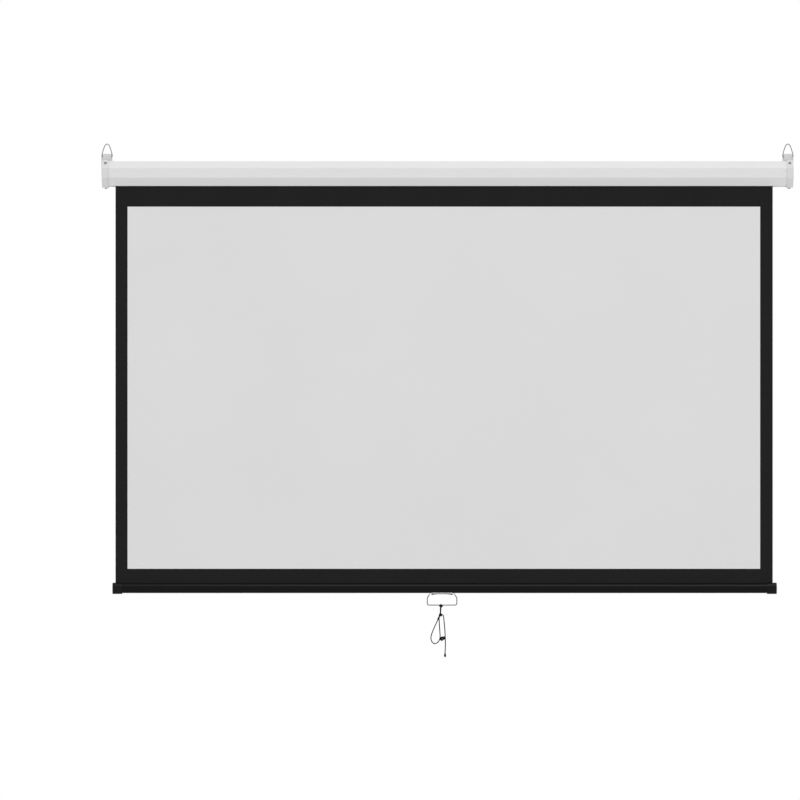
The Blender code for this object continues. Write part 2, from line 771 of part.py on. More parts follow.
def make_idler_pin(material, axis):
    end = IDLER_PIN_OUTER_X
    start = end + IDLER_PIN_LENGTH
    profile = [(start, 0), (start, SHAFT_RADIUS), (end + IDLER_PIN_CHAMFER, SHAFT_RADIUS)]
    profile += [(end, SHAFT_RADIUS - IDLER_PIN_CHAMFER), (end, 0)]
    return add_object("idler_pin", turned("idler_pin", profile, 24), material, axis, smooth_angle=30)


def make_idler_bush(material, root):
    """The flanged bush that the left-hand pin turns in."""
    bore = SHAFT_RADIUS + GAP
    flange_x = -(BOSS_INNER_X - GAP)
    back = -(CAP_END_X - CAP_END_WALL - BUSH_END_GAP)
    face = flange_x + BUSH_FLANGE
    profile = [(back, bore), (back, BUSH_RADIUS), (flange_x, BUSH_RADIUS)]
    profile += [(flange_x, BUSH_FLANGE_RADIUS), (face, BUSH_FLANGE_RADIUS), (face, bore)]
    mesh = turned("idler_bush", profile, 32, hollow=True)
    return add_object("idler_bush", mesh, material, root, (0, ROLLER_Y, ROLLER_Z), smooth_angle=30)


def make_arbor_shaft(material, root):
    """The fixed shaft; its outer end is flattened to a tang that the right-hand cap holds."""
    mesh = turned("arbor_shaft", rod_profile(SHAFT_INNER_X, SHAFT_OUTER_X, SHAFT_RADIUS), 24)
    place = (0, ROLLER_Y, ROLLER_Z)
    shaft = add_object("arbor_shaft", mesh, material, root, place, smooth_angle=30)
    reach = SHAFT_RADIUS + MM
    for word, side in (("front", -1), ("back", 1)):
        flat = side * TANG_THICKNESS / 2
        outline = [(flat, -reach), (side * reach, -reach), (side * reach, reach), (flat, reach)]
        mesh = prism(f"tang_flat_{word}", outline, SHAFT_OUTER_X - TANG_LENGTH, SHAFT_OUTER_X + MM)
        combine(shaft, add_cutter(mesh.name, mesh, root, place), "DIFFERENCE")
    return shaft


def ratchet_outline():
    """A disc rim with saw-tooth notches: each drops in on a leaning face and runs out on a slope."""
    points = []
    pitch = 360 / RATCHET_NOTCHES
    floor = RATCHET_RADIUS - NOTCH_DEPTH
    for notch in range(RATCHET_NOTCHES):
        start = 90 + pitch * notch
        points += arc((0, 0), floor, start, start + NOTCH_FLOOR_ANGLE, 1)
        rim_start = start + NOTCH_RAMP_ANGLE
        rim_end = start + pitch - NOTCH_FACE_LEAN
        points += arc((0, 0), RATCHET_RADIUS, rim_start, rim_end, 13)
    return points


def make_ratchet_wheel(material, root):
    end = RATCHET_X + RATCHET_THICKNESS
    mesh = prism("ratchet_wheel", ratchet_outline(), RATCHET_X, end)
    place = (0, ROLLER_Y, ROLLER_Z)
    wheel = add_object("ratchet_wheel", mesh, material, root, place, smooth_angle=25)
    bore = rod_profile(RATCHET_X - MM, end + MM, SHAFT_RADIUS + GAP)
    cutter = add_cutter("ratchet_bore", turned("ratchet_bore", bore, 24), root, place)
    combine(wheel, cutter, "DIFFERENCE")
    return wheel


def pawl_outline():
    """The pawl as it lies in a notch, from its pivot: a round heel, a bar and a hooked nose."""
    face_y = -PAWL_PIVOT_Y - GAP
    nose_y = face_y - PAWL_NOSE_WIDTH
    tip_z = RATCHET_RADIUS - NOTCH_DEPTH + PAWL_NOSE_CLEARANCE - PAWL_PIVOT_Z
    heel = arc((0, 0), PAWL_HEEL_RADIUS, 60, 270, 9)
    belly = [(3.0 * MM, -2.4 * MM), (5.0 * MM, -1.2 * MM), (nose_y, -1.2 * MM)]
    nose = [(nose_y, tip_z), (face_y, tip_z), (face_y + 0.6 * MM, -1.8 * MM)]
    back = [(face_y + 0.9 * MM, 0.2 * MM), (face_y - 0.9 * MM, 1.6 * MM)]
    return heel + belly + nose + back


def make_lock_pawl(material, axis):
    """The pawl, lifted clear of the ratchet as it is while the roller turns."""
    start = RATCHET_X + (RATCHET_THICKNESS - PAWL_THICKNESS) / 2
    mesh = prism("lock_pawl", pawl_outline(), start, start + PAWL_THICKNESS)
    mesh.transform(Matrix.Rotation(PAWL_LIFT, 4, "X"))
    pawl = add_object("lock_pawl", mesh, material, axis, smooth_angle=25)
    bore = rod_profile(start - MM, start + PAWL_THICKNESS + MM, PAWL_PIN_RADIUS + GAP)
    combine(pawl, add_cutter("pawl_bore", turned("pawl_bore", bore, 14), axis), "DIFFERENCE")
    return pawl


def make_torsion_spring(material, root):
    points = []
    count = SPRING_TURNS * SPRING_POINTS_PER_TURN
    for i in range(count + 1):
        angle = 2 * math.pi * i / SPRING_POINTS_PER_TURN
        x = SPRING_START_X + (SPRING_END_X - SPRING_START_X) * i / count
        points.append((x, SPRING_RADIUS * math.cos(angle), SPRING_RADIUS * math.sin(angle)))
    mesh = swept_wire("torsion_spring", points, SPRING_WIRE_RADIUS, 5)
    place = (0, ROLLER_Y, ROLLER_Z)
    return add_object("torsion_spring", mesh, material, root, place, smooth_angle=80)


def make_spring_collar(material, root):
    """The collar on the shaft's inner end that the spring is hooked to."""
    end = SPRING_START_X - SPRING_WIRE_RADIUS - GAP
    start = end - COLLAR_LENGTH
    bore = SHAFT_RADIUS + GAP
    profile = [(start, bore), (start, COLLAR_RADIUS - MM), (start + MM, COLLAR_RADIUS)]
    profile += [(end, COLLAR_RADIUS), (end, bore)]
    mesh = turned("spring_collar", profile, 28, hollow=True)
    place = (0, ROLLER_Y, ROLLER_Z)
    return add_object("spring_collar", mesh, material, root, place, smooth_angle=30)


def make_fabric_wrap(material, axis):
    """The turns of fabric that stay on the roller, a spiral that ends where the sheet leaves."""
    path = []
    count = int(WRAP_TURNS * WRAP_POINTS_PER_TURN)
    for i in range(count + 1):
        angle = math.pi - 2 * math.pi * (WRAP_TURNS - i / WRAP_POINTS_PER_TURN)
        radius = TUBE_RADIUS + GAP + WRAP_LAYER / 2 + WRAP_PITCH * i / WRAP_POINTS_PER_TURN
        path.append((radius * math.cos(angle), radius * math.sin(angle)))
    outline = strip_outline(path, WRAP_LAYER)
    mesh = prism("fabric_wrap", outline, FABRIC_LEFT_X, FABRIC_RIGHT_X)
    return add_object("fabric_wrap", mesh, material, axis, smooth_angle=30)


def make_screen_fabric(white, black, root):
    """The hanging sheet: white picture area on the front, black border and black back."""
    front = FABRIC_Y - FABRIC_THICKNESS / 2
    back = FABRIC_Y + FABRIC_THICKNESS / 2
    columns = (FABRIC_LEFT_X, PICTURE_LEFT_X, PICTURE_RIGHT_X, FABRIC_RIGHT_X)
    rows = (FABRIC_BOTTOM_Z, PICTURE_BOTTOM_Z, PICTURE_TOP_Z, FABRIC_TOP_Z)
    bm = bmesh.new()
    grids = []
    for y in (front, back):
        grids.append([[bm.verts.new((x, y, z)) for x in columns] for z in rows])
    for layer, grid in enumerate(grids):
        for j in range(3):
            for i in range(3):
                face = bm.faces.new((grid[j][i], grid[j][i + 1], grid[j + 1][i + 1], grid[j + 1][i]))
                face.material_index = 0 if layer == 0 and i == 1 and j == 1 else 1
    near, far = grids
    for i in range(3):
        for j in (0, 3):
            face = bm.faces.new((near[j][i], near[j][i + 1], far[j][i + 1], far[j][i]))
            face.material_index = 1
    for j in range(3):
        for i in (0, 3):
            face = bm.faces.new((near[j][i], near[j + 1][i], far[j + 1][i], far[j][i]))
            face.material_index = 1
    mesh = finish_mesh("screen_fabric", bm)
    mesh.materials.append(white)
    mesh.materials.append(black)
    return add_object("screen_fabric", mesh, None, root)


def bar_outline(half_depth, half_height, flat_z, steps=24):
    """The bar's section: a pointed oval above, fuller below, with a flat underside."""
    points = []
    for i in range(steps):
        angle = 2 * math.pi * i / steps
        y = math.cos(angle)
        z = math.sin(angle)
        power = 2.0 if z > 0 else 3.0
        scale = (abs(y) ** power + abs(z) ** power) ** (-1 / power)
        points.append((half_depth * y * scale, max(half_height * z * scale, flat_z)))
    return points


def chamber_outline():
    """The hollow below the hem pocket: the bar's own section, one wall in, cut off flat above."""
    top = POCKET_Z - POCKET_RADIUS - BAR_WALL
    height = BAR_HALF_HEIGHT - BAR_WALL
    section = bar_outline(BAR_HALF_DEPTH - BAR_WALL, height, BAR_FLAT_Z + BAR_WALL, 28)
    lower = [point for point in section if point[1] < 0]
    return [(lower[-1][0], top)] + [(lower[0][0], top)] + lower


def make_weight_bar(material, carrier):
    """The extruded bar: hem groove and pocket at the top, one long chamber below."""
    outer = bar_outline(BAR_HALF_DEPTH, BAR_HALF_HEIGHT, BAR_FLAT_Z, 36)
    mesh = prism("weight_bar", outer, BAR_LEFT_X, BAR_RIGHT_X)
    bar = add_object("weight_bar", mesh, material, carrier, smooth_angle=30)
    start = BAR_LEFT_X - MM
    end = BAR_RIGHT_X + MM

    half = GROOVE_WIDTH / 2
    join = math.degrees(math.acos(half / POCKET_RADIUS))
    groove = arc((0, POCKET_Z), POCKET_RADIUS, 180 - join, 360 + join, 14)
    groove += [(half, BAR_HALF_HEIGHT + MM), (-half, BAR_HALF_HEIGHT + MM)]
    mesh = prism("hem_groove", groove, start, end)
    combine(bar, add_cutter(mesh.name, mesh, carrier), "DIFFERENCE")

    mesh = prism("bar_chamber", chamber_outline(), start, end)
    combine(bar, add_cutter(mesh.name, mesh, carrier), "DIFFERENCE")

    for cutter in rivet_hole_cutters(carrier):
        combine(bar, cutter, "DIFFERENCE")
    return bar


def make_bar_cap(side, material, carrier):
    """The sleeve over the bar's end, closed outside and notched on top for the fabric."""
    word = side_word(side)
    end = BAR_RIGHT_X if side > 0 else BAR_LEFT_X
    outer_x = end + side * (GAP + BAR_CAP_END_WALL)
    inner_x = outer_x - side * BAR_CAP_LENGTH
    depth = BAR_HALF_DEPTH + GAP + BAR_CAP_SIDE_WALL
    height = BAR_HALF_HEIGHT + GAP + BAR_CAP_WALL
    bm = prism_bmesh(bar_outline(depth, height, -height, 32), inner_x, outer_x)
    rim = [e for e in bm.edges if all(abs(v.co.x - outer_x) < 1e-6 for v in e.verts)]
    bmesh.ops.bevel(
        bm, geom=rim, offset=BAR_CAP_EDGE_RADIUS, segments=2, profile=0.5, affect="EDGES"
    )
    name = f"bar_cap_{word}"
    cap = add_object(name, finish_mesh(name, bm), material, carrier, smooth_angle=35)

    bar = bar_outline(BAR_HALF_DEPTH, BAR_HALF_HEIGHT, BAR_FLAT_Z, 36)
    room = offset_path(bar, -GAP, closed=True)
    mesh = prism(f"bar_cap_room_{word}", room, inner_x - side * MM, end + side * GAP)
    combine(cap, add_cutter(mesh.name, mesh, carrier), "DIFFERENCE")

    half = GROOVE_WIDTH / 2
    edge = FABRIC_RIGHT_X if side > 0 else FABRIC_LEFT_X
    low = BAR_CAP_NOTCH_Z
    high = height + MM
    notch = [(-half, low), (half, low), (half, high), (-half, high)]
    notch_end = edge + side * BAR_CAP_NOTCH_REACH
    mesh = prism(f"bar_cap_notch_{word}", notch, inner_x - side * MM, notch_end)
    combine(cap, add_cutter(mesh.name, mesh, carrier), "DIFFERENCE")
    return cap


def make_hem(fabric_material, rod_material, carrier):
    """The hem pocket at the fabric's foot and the rod that keeps it in the bar's groove."""
    place = (0, 0, POCKET_Z)
    mesh = tube_sleeve(
        "fabric_hem", HEM_RADIUS - HEM_WALL, HEM_RADIUS, FABRIC_LEFT_X, FABRIC_RIGHT_X, 24
    )
    add_object("fabric_hem", mesh, fabric_material, carrier, place, smooth_angle=30)
    rod = rod_profile(FABRIC_LEFT_X - HEM_ROD_REACH, FABRIC_RIGHT_X + HEM_ROD_REACH, HEM_ROD_RADIUS)
    mesh = turned("hem_rod", rod, 16)
    add_object("hem_rod", mesh, rod_material, carrier, place, smooth_angle=40)


def rivet_hole_cutters(carrier):
    """The holes through the bar's underside and the bracket for the two rivets."""
    cutters = []
    for word, side in (("left", -1), ("right", 1)):
        name = f"rivet_hole_{word}"
        cutter = bpy.data.objects.get(name)
        if cutter is None:
            bore = RIVET_SHANK_RADIUS + GAP
            mesh = prism(name, arc((0, 0), bore, 0, 330, 11), -RIVET_SHANK_TOP, RIVET_SHANK_TOP, "Z")
            place = (HANDLE_X + side * RIVET_X, RIVET_Y, BAR_FLAT_Z)
            cutter = add_cutter(name, mesh, carrier, place)
        cutters.append(cutter)
    return cutters


def make_handle_bracket(material, carrier):
    """A strip under the bar whose front edge is rolled into a cradle for the handle's wire."""
    seat = BAR_FLAT_Z - GAP - BRACKET_THICKNESS / 2
    roll = HANDLE_WIRE_RADIUS + GAP + BRACKET_THICKNESS / 2
    path = [(BRACKET_BACK_Y, seat), (HANDLE_AXIS_Y + roll + BRACKET_SLOPE, seat)]
    path += arc((HANDLE_AXIS_Y, HANDLE_AXIS_Z), roll, -22, -150, 7)
    outline = strip_outline(path, BRACKET_THICKNESS)
    bm = bmesh.new()
    rings = []
    for i in range(BRACKET_STATIONS):
        x = BRACKET_HALF_LENGTH * (2 * i / (BRACKET_STATIONS - 1) - 1)
        share = max(0.0, abs(x) / BRACKET_HALF_LENGTH - 0.25) / 0.75
        droop = BRACKET_END_DROOP * share * share
        ring = []
        for y, z in outline:
            depth = min(1.0, max(0.0, (HANDLE_AXIS_Y + roll - y) / roll))
            ring.append(bm.verts.new((HANDLE_X + x, y, z - droop * depth)))
        rings.append(ring)
    count = len(outline)
    for first, second in zip(rings, rings[1:]):
        for k in range(count):
            j = (k + 1) % count
            bm.faces.new((first[k], first[j], second[j], second[k]))
    bm.faces.new(rings[0])
    bm.faces.new(rings[-1])
    mesh = finish_mesh("handle_bracket", bm)
    bracket = add_object("handle_bracket", mesh, material, carrier, smooth_angle=35)
    for cutter in rivet_hole_cutters(carrier):
        combine(bracket, cutter, "DIFFERENCE")
    return bracket


def make_rivets(material, carrier):
    """Two domed rivets, head down, made along X and stood upright."""
    under = -(GAP + BRACKET_THICKNESS + GAP)
    profile = [(RIVET_SHANK_TOP, 0), (RIVET_SHANK_TOP, RIVET_SHANK_RADIUS)]
    profile += [(under, RIVET_SHANK_RADIUS), (under, RIVET_HEAD_RADIUS)]
    for drop, share in ((0.3, 1.0), (0.7, 0.8), (0.95, 0.4), (1.0, 0.0)):
        profile.append((under - drop * RIVET_HEAD_HEIGHT, share * RIVET_HEAD_RADIUS))
    for word, side in (("left", -1), ("right", 1)):
        name = f"bracket_rivet_{word}"
        mesh = turned(name, profile, 16)
        place = (HANDLE_X + side * RIVET_X, RIVET_Y, BAR_FLAT_Z)
        rivet = add_object(name, mesh, material, carrier, place, smooth_angle=40)
        aim_x(rivet, Vector((0, 0, 1)))


def handle_path():
    """The handle's wire from the front: short top, sloping shoulders, rounded lower corners."""
    corners = [
        (-HANDLE_TOP_HALF, 0),
        (HANDLE_TOP_HALF, 0),
        (HANDLE_HALF_WIDTH, -HANDLE_SHOULDER_DROP),
        (HANDLE_HALF_WIDTH, -HANDLE_HEIGHT),
        (-HANDLE_HALF_WIDTH, -HANDLE_HEIGHT),
        (-HANDLE_HALF_WIDTH, -HANDLE_SHOULDER_DROP),
    ]
    return rounded_path(corners, HANDLE_RADII, steps=5, closed=True)


def make_pull_handle(material, axis):
    points = [(x, 0, z) for x, z in handle_path()]
    mesh = swept_wire("pull_handle", points, HANDLE_WIRE_RADIUS, 12, closed=True)
    return add_object("pull_handle", mesh, material, axis, smooth_angle=60)


def cord_points():
    route = [(x * MM, y * MM, z * MM) for x, y, z in CORD_ROUTE]
    return smooth_curve(route, CORD_POINTS)


def make_pull_cord(material, axis):
    """The cord as a round curve along its route."""
    curve = bpy.data.curves.new("pull_cord", "CURVE")
    curve.dimensions = "3D"
    curve.bevel_depth = CORD_RADIUS
    curve.bevel_resolution = 2
    curve.use_fill_caps = True
    curve.materials.append(material)
    spline = curve.splines.new("POLY")
    points = cord_points()
    spline.points.add(len(points) - 1)
    for point, place in zip(spline.points, points):
        point.co = (*place, 1.0)
    cord = bpy.data.objects.new("pull_cord", curve)
    cord.parent = axis
    bpy.context.scene.collection.objects.link(cord)
    return cord


def make_cord_bead(material, axis):
    """The teardrop end knob, just below the cord's end."""
    route_end = Vector(CORD_ROUTE[-1]) * MM
    profile = [(0, 0), (0, BEAD_NECK)]
    for i in range(1, 10):
        share = i / 10
        swell = math.sin(math.pi * share**BEAD_DROOP)
        profile.append((BEAD_LENGTH * share, BEAD_NECK + (BEAD_RADIUS - BEAD_NECK) * swell))
    profile += [(BEAD_LENGTH, BEAD_NECK), (BEAD_LENGTH, 0)]
    mesh = turned("cord_bead", profile, 16)
    place = route_end + Vector((0, 0, -GAP))
    bead = add_object("cord_bead", mesh, material, axis, place, smooth_angle=50)
    aim_x(bead, Vector((0, 0, -1)))
    return bead


def build():
    clear_scene()
    white_steel = make_material("white_coated_steel", "#ECEEEF", 0.38)
    white_plastic = make_material("white_moulded_plastic", "#E6E7E6", 0.42)
    bright_steel = make_material("polished_steel_wire", "#B9BBBD", 0.22, 1.0)
    zinc_steel = make_material("zinc_plated_steel", "#C4C7CA", 0.3, 1.0)
    spring_steel = make_material("spring_steel", "#6F7276", 0.35, 1.0)
    raw_aluminium = make_material("mill_aluminium", "#B4B7BA", 0.45, 1.0)
    nylon = make_material("natural_nylon", "#E9E4D6", 0.5)
    screen_white = make_material("matt_white_vinyl", "#DADBDC", 0.85)
    screen_black = make_material("black_vinyl_border", "#262626", 0.7)
    black_aluminium = make_material("black_anodised_aluminium", "#1E1E1F", 0.4)
    black_plastic = make_material("black_moulded_plastic", "#19191A", 0.5)
    black_steel = make_material("black_coated_steel", "#1A1A1B", 0.45)
    cord_black = make_material("black_braided_cord", "#141414", 0.9)

    root = make_empty("wall_line", (0, 0, 0))
    roller_axis = make_empty("roller_axis", (0, ROLLER_Y, ROLLER_Z), root)
    pawl_axis = make_empty("pawl_axis", (0, PAWL_PIVOT_Y, PAWL_PIVOT_Z), roller_axis)
    carrier = make_empty("bar_carrier", (0, FABRIC_Y, BAR_Z), root)
    handle_axis = make_empty("handle_axis", (HANDLE_X, HANDLE_AXIS_Y, HANDLE_AXIS_Z), carrier)
    cord_axis = make_empty("cord_axis", (0, 0, -HANDLE_HEIGHT), handle_axis)

    make_casing(white_steel, root)
    for side, word in ((-1, "left"), (1, "right")):
        make_end_cap(side, white_plastic, root)
        for place, (seat, outward) in screw_seats(side).items():
            make_cap_screw(f"cap_screw_{place}_{word}", seat, outward, zinc_steel, root)
        ear_middle = CAP_FRONT_Y + EAR_FRONT + EAR_THICKNESS / 2
        loop_axis = make_empty(f"loop_axis_{word}", (side * EAR_X, ear_middle, LOOP_AXIS_Z), root)
        make_hanging_loop(side, bright_steel, loop_axis)
        make_roller_plug(side, nylon, roller_axis)
        make_bar_cap(side, black_plastic, carrier)

    make_idler_bush(nylon, root)
    make_arbor_shaft(zinc_steel, root)
    make_ratchet_wheel(zinc_steel, root)
    make_torsion_spring(spring_steel, root)
    make_spring_collar(nylon, root)
    make_roller_tube(raw_aluminium, roller_axis)
    make_idler_pin(zinc_steel, roller_axis)
    make_fabric_wrap(screen_black, roller_axis)
    make_lock_pawl(zinc_steel, pawl_axis)
    make_screen_fabric(screen_white, screen_black, root)

    make_weight_bar(black_aluminium, carrier)
    make_hem(screen_black, zinc_steel, carrier)
    make_handle_bracket(black_steel, carrier)
    make_rivets(black_steel, carrier)
    make_pull_handle(bright_steel, handle_axis)
    make_pull_cord(cord_black, cord_axis)
    make_cord_bead(cord_black, cord_axis)


build()
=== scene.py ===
import json
import math

import bmesh
import bpy
from mathutils import Matrix, Vector


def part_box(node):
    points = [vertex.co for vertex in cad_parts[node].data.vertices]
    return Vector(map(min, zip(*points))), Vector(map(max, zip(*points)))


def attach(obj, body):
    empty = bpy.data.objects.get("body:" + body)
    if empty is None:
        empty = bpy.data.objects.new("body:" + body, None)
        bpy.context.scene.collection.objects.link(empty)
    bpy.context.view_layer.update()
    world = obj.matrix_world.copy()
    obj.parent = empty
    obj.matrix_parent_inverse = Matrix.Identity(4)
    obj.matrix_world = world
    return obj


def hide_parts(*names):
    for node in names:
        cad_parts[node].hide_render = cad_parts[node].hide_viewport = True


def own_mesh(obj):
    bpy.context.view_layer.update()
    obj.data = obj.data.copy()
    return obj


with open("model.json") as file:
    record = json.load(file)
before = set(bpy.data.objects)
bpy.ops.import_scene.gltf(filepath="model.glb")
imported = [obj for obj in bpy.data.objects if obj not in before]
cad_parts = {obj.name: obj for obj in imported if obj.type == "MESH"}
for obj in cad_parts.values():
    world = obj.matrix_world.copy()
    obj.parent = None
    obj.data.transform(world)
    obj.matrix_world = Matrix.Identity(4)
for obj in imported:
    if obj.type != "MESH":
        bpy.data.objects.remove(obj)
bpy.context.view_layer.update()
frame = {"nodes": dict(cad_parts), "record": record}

MM = 0.001

# Camera: square on to the picture, far enough away that the view is nearly an elevation.
CAMERA_PLACE = (-0.140, -13.0, -0.706)
CAMERA_LENS = 198.0
CAMERA_SENSOR = 36.0
CAMERA_REACH = 200.0

# Studio: the floor fades to plain white between two distances from its middle.
FLOOR_Z = -2.3
FLOOR_RADIUS = 60.0
FLOOR_SIDES = 96
FADE_START = 1.92
FADE_END = 3.2
HORIZON_LIGHT = 0.55
ZENITH_LIGHT = 1.2
KEY_PLACE = (0.9, -6.0, 7.2)
KEY_AIM = (0.0, 0.0, -0.7)
KEY_SIZE = 5.0
KEY_POWER = 218.0

# The colour sockets of a Mix node, whose names it uses more than once.
MIX_FACTOR = 0
MIX_FIRST = 6
MIX_SECOND = 7
MIX_RESULT = 2
# The name of a material's own shader node
SHADER = "Principled BSDF"
# A wave pattern of scale 1 turns by this many radians in each unit.
WAVE_RADIANS = 20

# Shading, in degrees: sharper corners stay crisp, and triangles that meet at less than the last
# angle are one flat.
SOLID_CORNER = 30
ROUND_CORNER = 60
SHEET_CORNER = 40
SCREW_CORNER = 34
BEAD_CORNER = 50
FLAT_ANGLE = 0.2
MERGE_DISTANCE = 0.002 * MM

# Projection sheet, in the frame's own coordinates
PICTURE_LEFT_X = -942.1 * MM
PICTURE_RIGHT_X = 920.3 * MM
PICTURE_TOP_Z = -136.8 * MM
PICTURE_BOTTOM_Z = -1202.9 * MM
SHEET_THICKNESS = 0.5 * MM
SHEET_CELL = 26.0 * MM
SHEET_EDGE_CURL = 0.7 * MM
SHEET_CURL_WIDTH = 55.0 * MM
# Waves: how deep, how many, where they begin, and how soon the roller and the bar let them go.
SHEET_WAVE = 0.45 * MM
WAVES_ACROSS = 1.7
WAVES_DOWN = 0.9
WAVE_START_ACROSS = 0.15
WAVE_START_DOWN = 0.1
RIPPLE_SHARE = 0.35
RIPPLES_ACROSS = 4.3
RIPPLES_DOWN = 0.6
HOLD_POWER = 0.7
# The real weave is about 0.4 mm, too fine to show here, so it is drawn coarser.
THREAD_SPACING = 1.0 * MM

# Cap screws
SCREW_LENGTH = 9.0 * MM
SCREW_SHANK_RADIUS = 1.3 * MM
SCREW_POINT = 2.0 * MM
SCREW_HEAD_RADIUS = 4.0 * MM
SCREW_HEAD_HEIGHT = 2.6 * MM
SCREW_SIDES = 40
HEAD_BEVEL = 0.15 * MM
# Shares of the head's height below its crown, and of its radius that the crown takes in.
HEAD_FLANK = 0.45
HEAD_CROWN = 0.65
CROWN_STEPS = 8
THREAD_PITCH = 1.1 * MM
THREAD_LENGTH = SCREW_LENGTH - 2.5 * MM
THREAD_TOOTH = 0.36
THREAD_SIDES = 3
RECESS_WIDTH = 4.4 * MM
RECESS_ARM = 1.0 * MM
RECESS_DEPTH = 1.5 * MM
# How wide the tapered recess is at its floor and above its mouth, next to its plan.
RECESS_TAPER = (0.62, 1.35)
# The upper front chamfer of an end cap, which the top screws stand square on.
CHAMFER_RISE = 23.0 * MM
CHAMFER_DEPTH = 21.0 * MM
# Clearance between a head and its seat
GAP = 0.3 * MM

# Wires: half of each outline, in millimetres from the axis that the wire turns on.
WIRE_SIDES = 20
LOOP_WIRE_RADIUS = 1.4 * MM
LOOP_POINTS = 96
LOOP_OUTLINE = [
    (-6.0, 0.0),
    (-12.4, 0.0),
    (-14.5, 0.9),
    (-15.4, 3.2),
    (-14.4, 8.5),
    (-12.3, 17.0),
    (-9.4, 26.0),
    (-6.2, 33.5),
    (-2.6, 37.3),
    (0.0, 38.0),
]
HANDLE_WIRE_RADIUS = 1.5 * MM
# Each corner's x and z, and the radius that rounds it.
HANDLE_CORNERS = [(34.3, 0.0, 9.0), (43.5, -13.0, 14.0), (43.5, -34.8, 5.5)]
HANDLE_CORNER_STEPS = 12
# The handle's wire gets a painted highlight above this height, standing in for light on its top,
# and the highlight fades out below it.
HIGHLIGHT_FROM_Z = -1280.0 * MM
HIGHLIGHT_FADE = 3.0 * MM

# Torsion spring
SPRING_COILS = 88
SPRING_WIRE_RADIUS = 0.9 * MM
SPRING_RADIUS = 8.0 * MM
SPRING_WIRE_SIDES = 8
# Steps in each turn of the spring and of the screws' thread.
HELIX_STEPS = 20

# Pull cord: braided, hanging from the handle's lower wire. The route is in millimetres from there.
CORD_DIAMETER = 2.6 * MM
CORD_POINTS = 240
# Steps between two of the route's points.
CURVE_STEPS = 40
BRAID_PITCH = 5.0 * MM
# Steps in each pitch
BRAID_STEPS = 14
STRANDS = 8
# Shares of the cord's diameter: the strands' circle, how far they weave in and out of it, and the
# radius of a strand and of the core.
STRAND_CIRCLE = 0.39
STRAND_WEAVE = 0.05
STRAND_RADIUS = 0.19
STRAND_SIDES = 5
CORE_RADIUS = 0.36
CORE_SIDES = 6
# The hitch in millimetres: its other leg up from the upper knot, one turn over the wire, pressed
# to a share of the cord's diameter from it, and its end, forwards and down from the wire.
HITCH_LEG = [(-5.6, 2.4, -26.0), (-5.0, 2.4, -17.0), (-4.8, 2.4, -9.0)]
HITCH_HALF_WIDTH = 1.3 * MM
HITCH_PRESS = 0.42
HITCH_FROM = -60
HITCH_STEP = 30
HITCH_STEPS = 10
HITCH_END = (-0.5, -6.5)
HITCH_POINTS = 120
# Each knot's centre from the wire in millimetres, its size over the middle of the cord, its tilt in
# degrees, its crossings, and how wide its top and its foot are.
KNOT_POINTS = 96
KNOTS = {
    "cord_knot_hitch": ((-3.1, 0.0, -3.3), (12.4, 6.0, 7.0), 180, 3, (0.4, 1.0)),
    "cord_knot_upper": ((-4.8, -0.7, -28.2), (9.6, 4.6, 10.2), 0, 3, (0.4, 1.0)),
    "cord_knot_crossing": ((-10.0, -0.6, -38.2), (3.2, 3.0, 10.5), 24, 3, (1.0, 1.0)),
    "cord_knot_lower": ((0.9, -0.9, -98.4), (15.4, 5.0, 9.8), -31, 5, (1.0, 1.0)),
}
CORD_ROUTE = [
    (-3.2, 0.0, -1.9),
    (-3.4, 0.0, -9.0),
    (-3.9, 0.1, -18.0),
    (-5.2, 0.7, -27.0),
    (-10.2, 1.6, -39.0),
    (-17.0, 2.0, -53.0),
    (-23.7, 1.8, -68.0),
    (-29.4, 1.1, -82.0),
    (-32.7, 0.2, -94.6),
    (-30.9, -0.5, -105.6),
    (-24.6, -1.2, -112.7),
    (-16.6, -1.9, -112.2),
    (-10.6, -2.3, -106.8),
    (-6.8, -2.5, -99.6),
    (-5.8, -2.5, -91.0),
    (-6.4, -2.5, -80.0),
    (-7.3, -2.5, -66.0),
    (-8.2, -2.6, -52.0),
    (-8.9, -2.7, -41.0),
    (-8.6, -2.7, -33.9),
    (-6.7, -2.7, -29.1),
    (-2.2, -2.7, -27.2),
    (2.3, -2.6, -29.1),
    (4.2, -2.4, -33.8),
    (5.1, -2.0, -40.5),
    (5.9, -1.5, -49.0),
    (7.3, -0.8, -62.0),
    (8.4, 0.0, -77.0),
    (9.1, 0.8, -91.0),
    (9.7, 1.0, -104.0),
    (9.9, 0.5, -117.0),
    (9.4, 0.1, -129.0),
    (8.8, 0.0, -138.0),
]


# Nodes and surfaces


def linear(hex_code):
    """A #RRGGBB colour as linear red, green, blue, alpha."""
    channels = [int(hex_code[i : i + 2], 16) / 255 for i in (1, 3, 5)]
    curved = [c / 12.92 if c <= 0.04045 else ((c + 0.055) / 1.055) ** 2.4 for c in channels]
    return (*curved, 1.0)


def per_metre(size):
    """The scale of a noise pattern whose features are this many metres across."""
    return 1.0 / size


def per_band(spacing):
    """The scale of a wave pattern whose bands are this many metres apart."""
    return 2 * math.pi / (WAVE_RADIANS * spacing)


def add_node(tree, kind, inputs=None, **settings):
    """Adds one node with its settings; an input is a value, a socket or a list of sockets."""
    made = tree.nodes.new(kind)
    for name, value in settings.items():
        setattr(made, name, value)
    for key, value in (inputs or {}).items():
        sockets = value if isinstance(value, list) else [value]
        if isinstance(sockets[0], bpy.types.NodeSocket):
            for socket in sockets:
                tree.links.new(socket, made.inputs[key])
        else:
            made.inputs[key].default_value = value
    return made


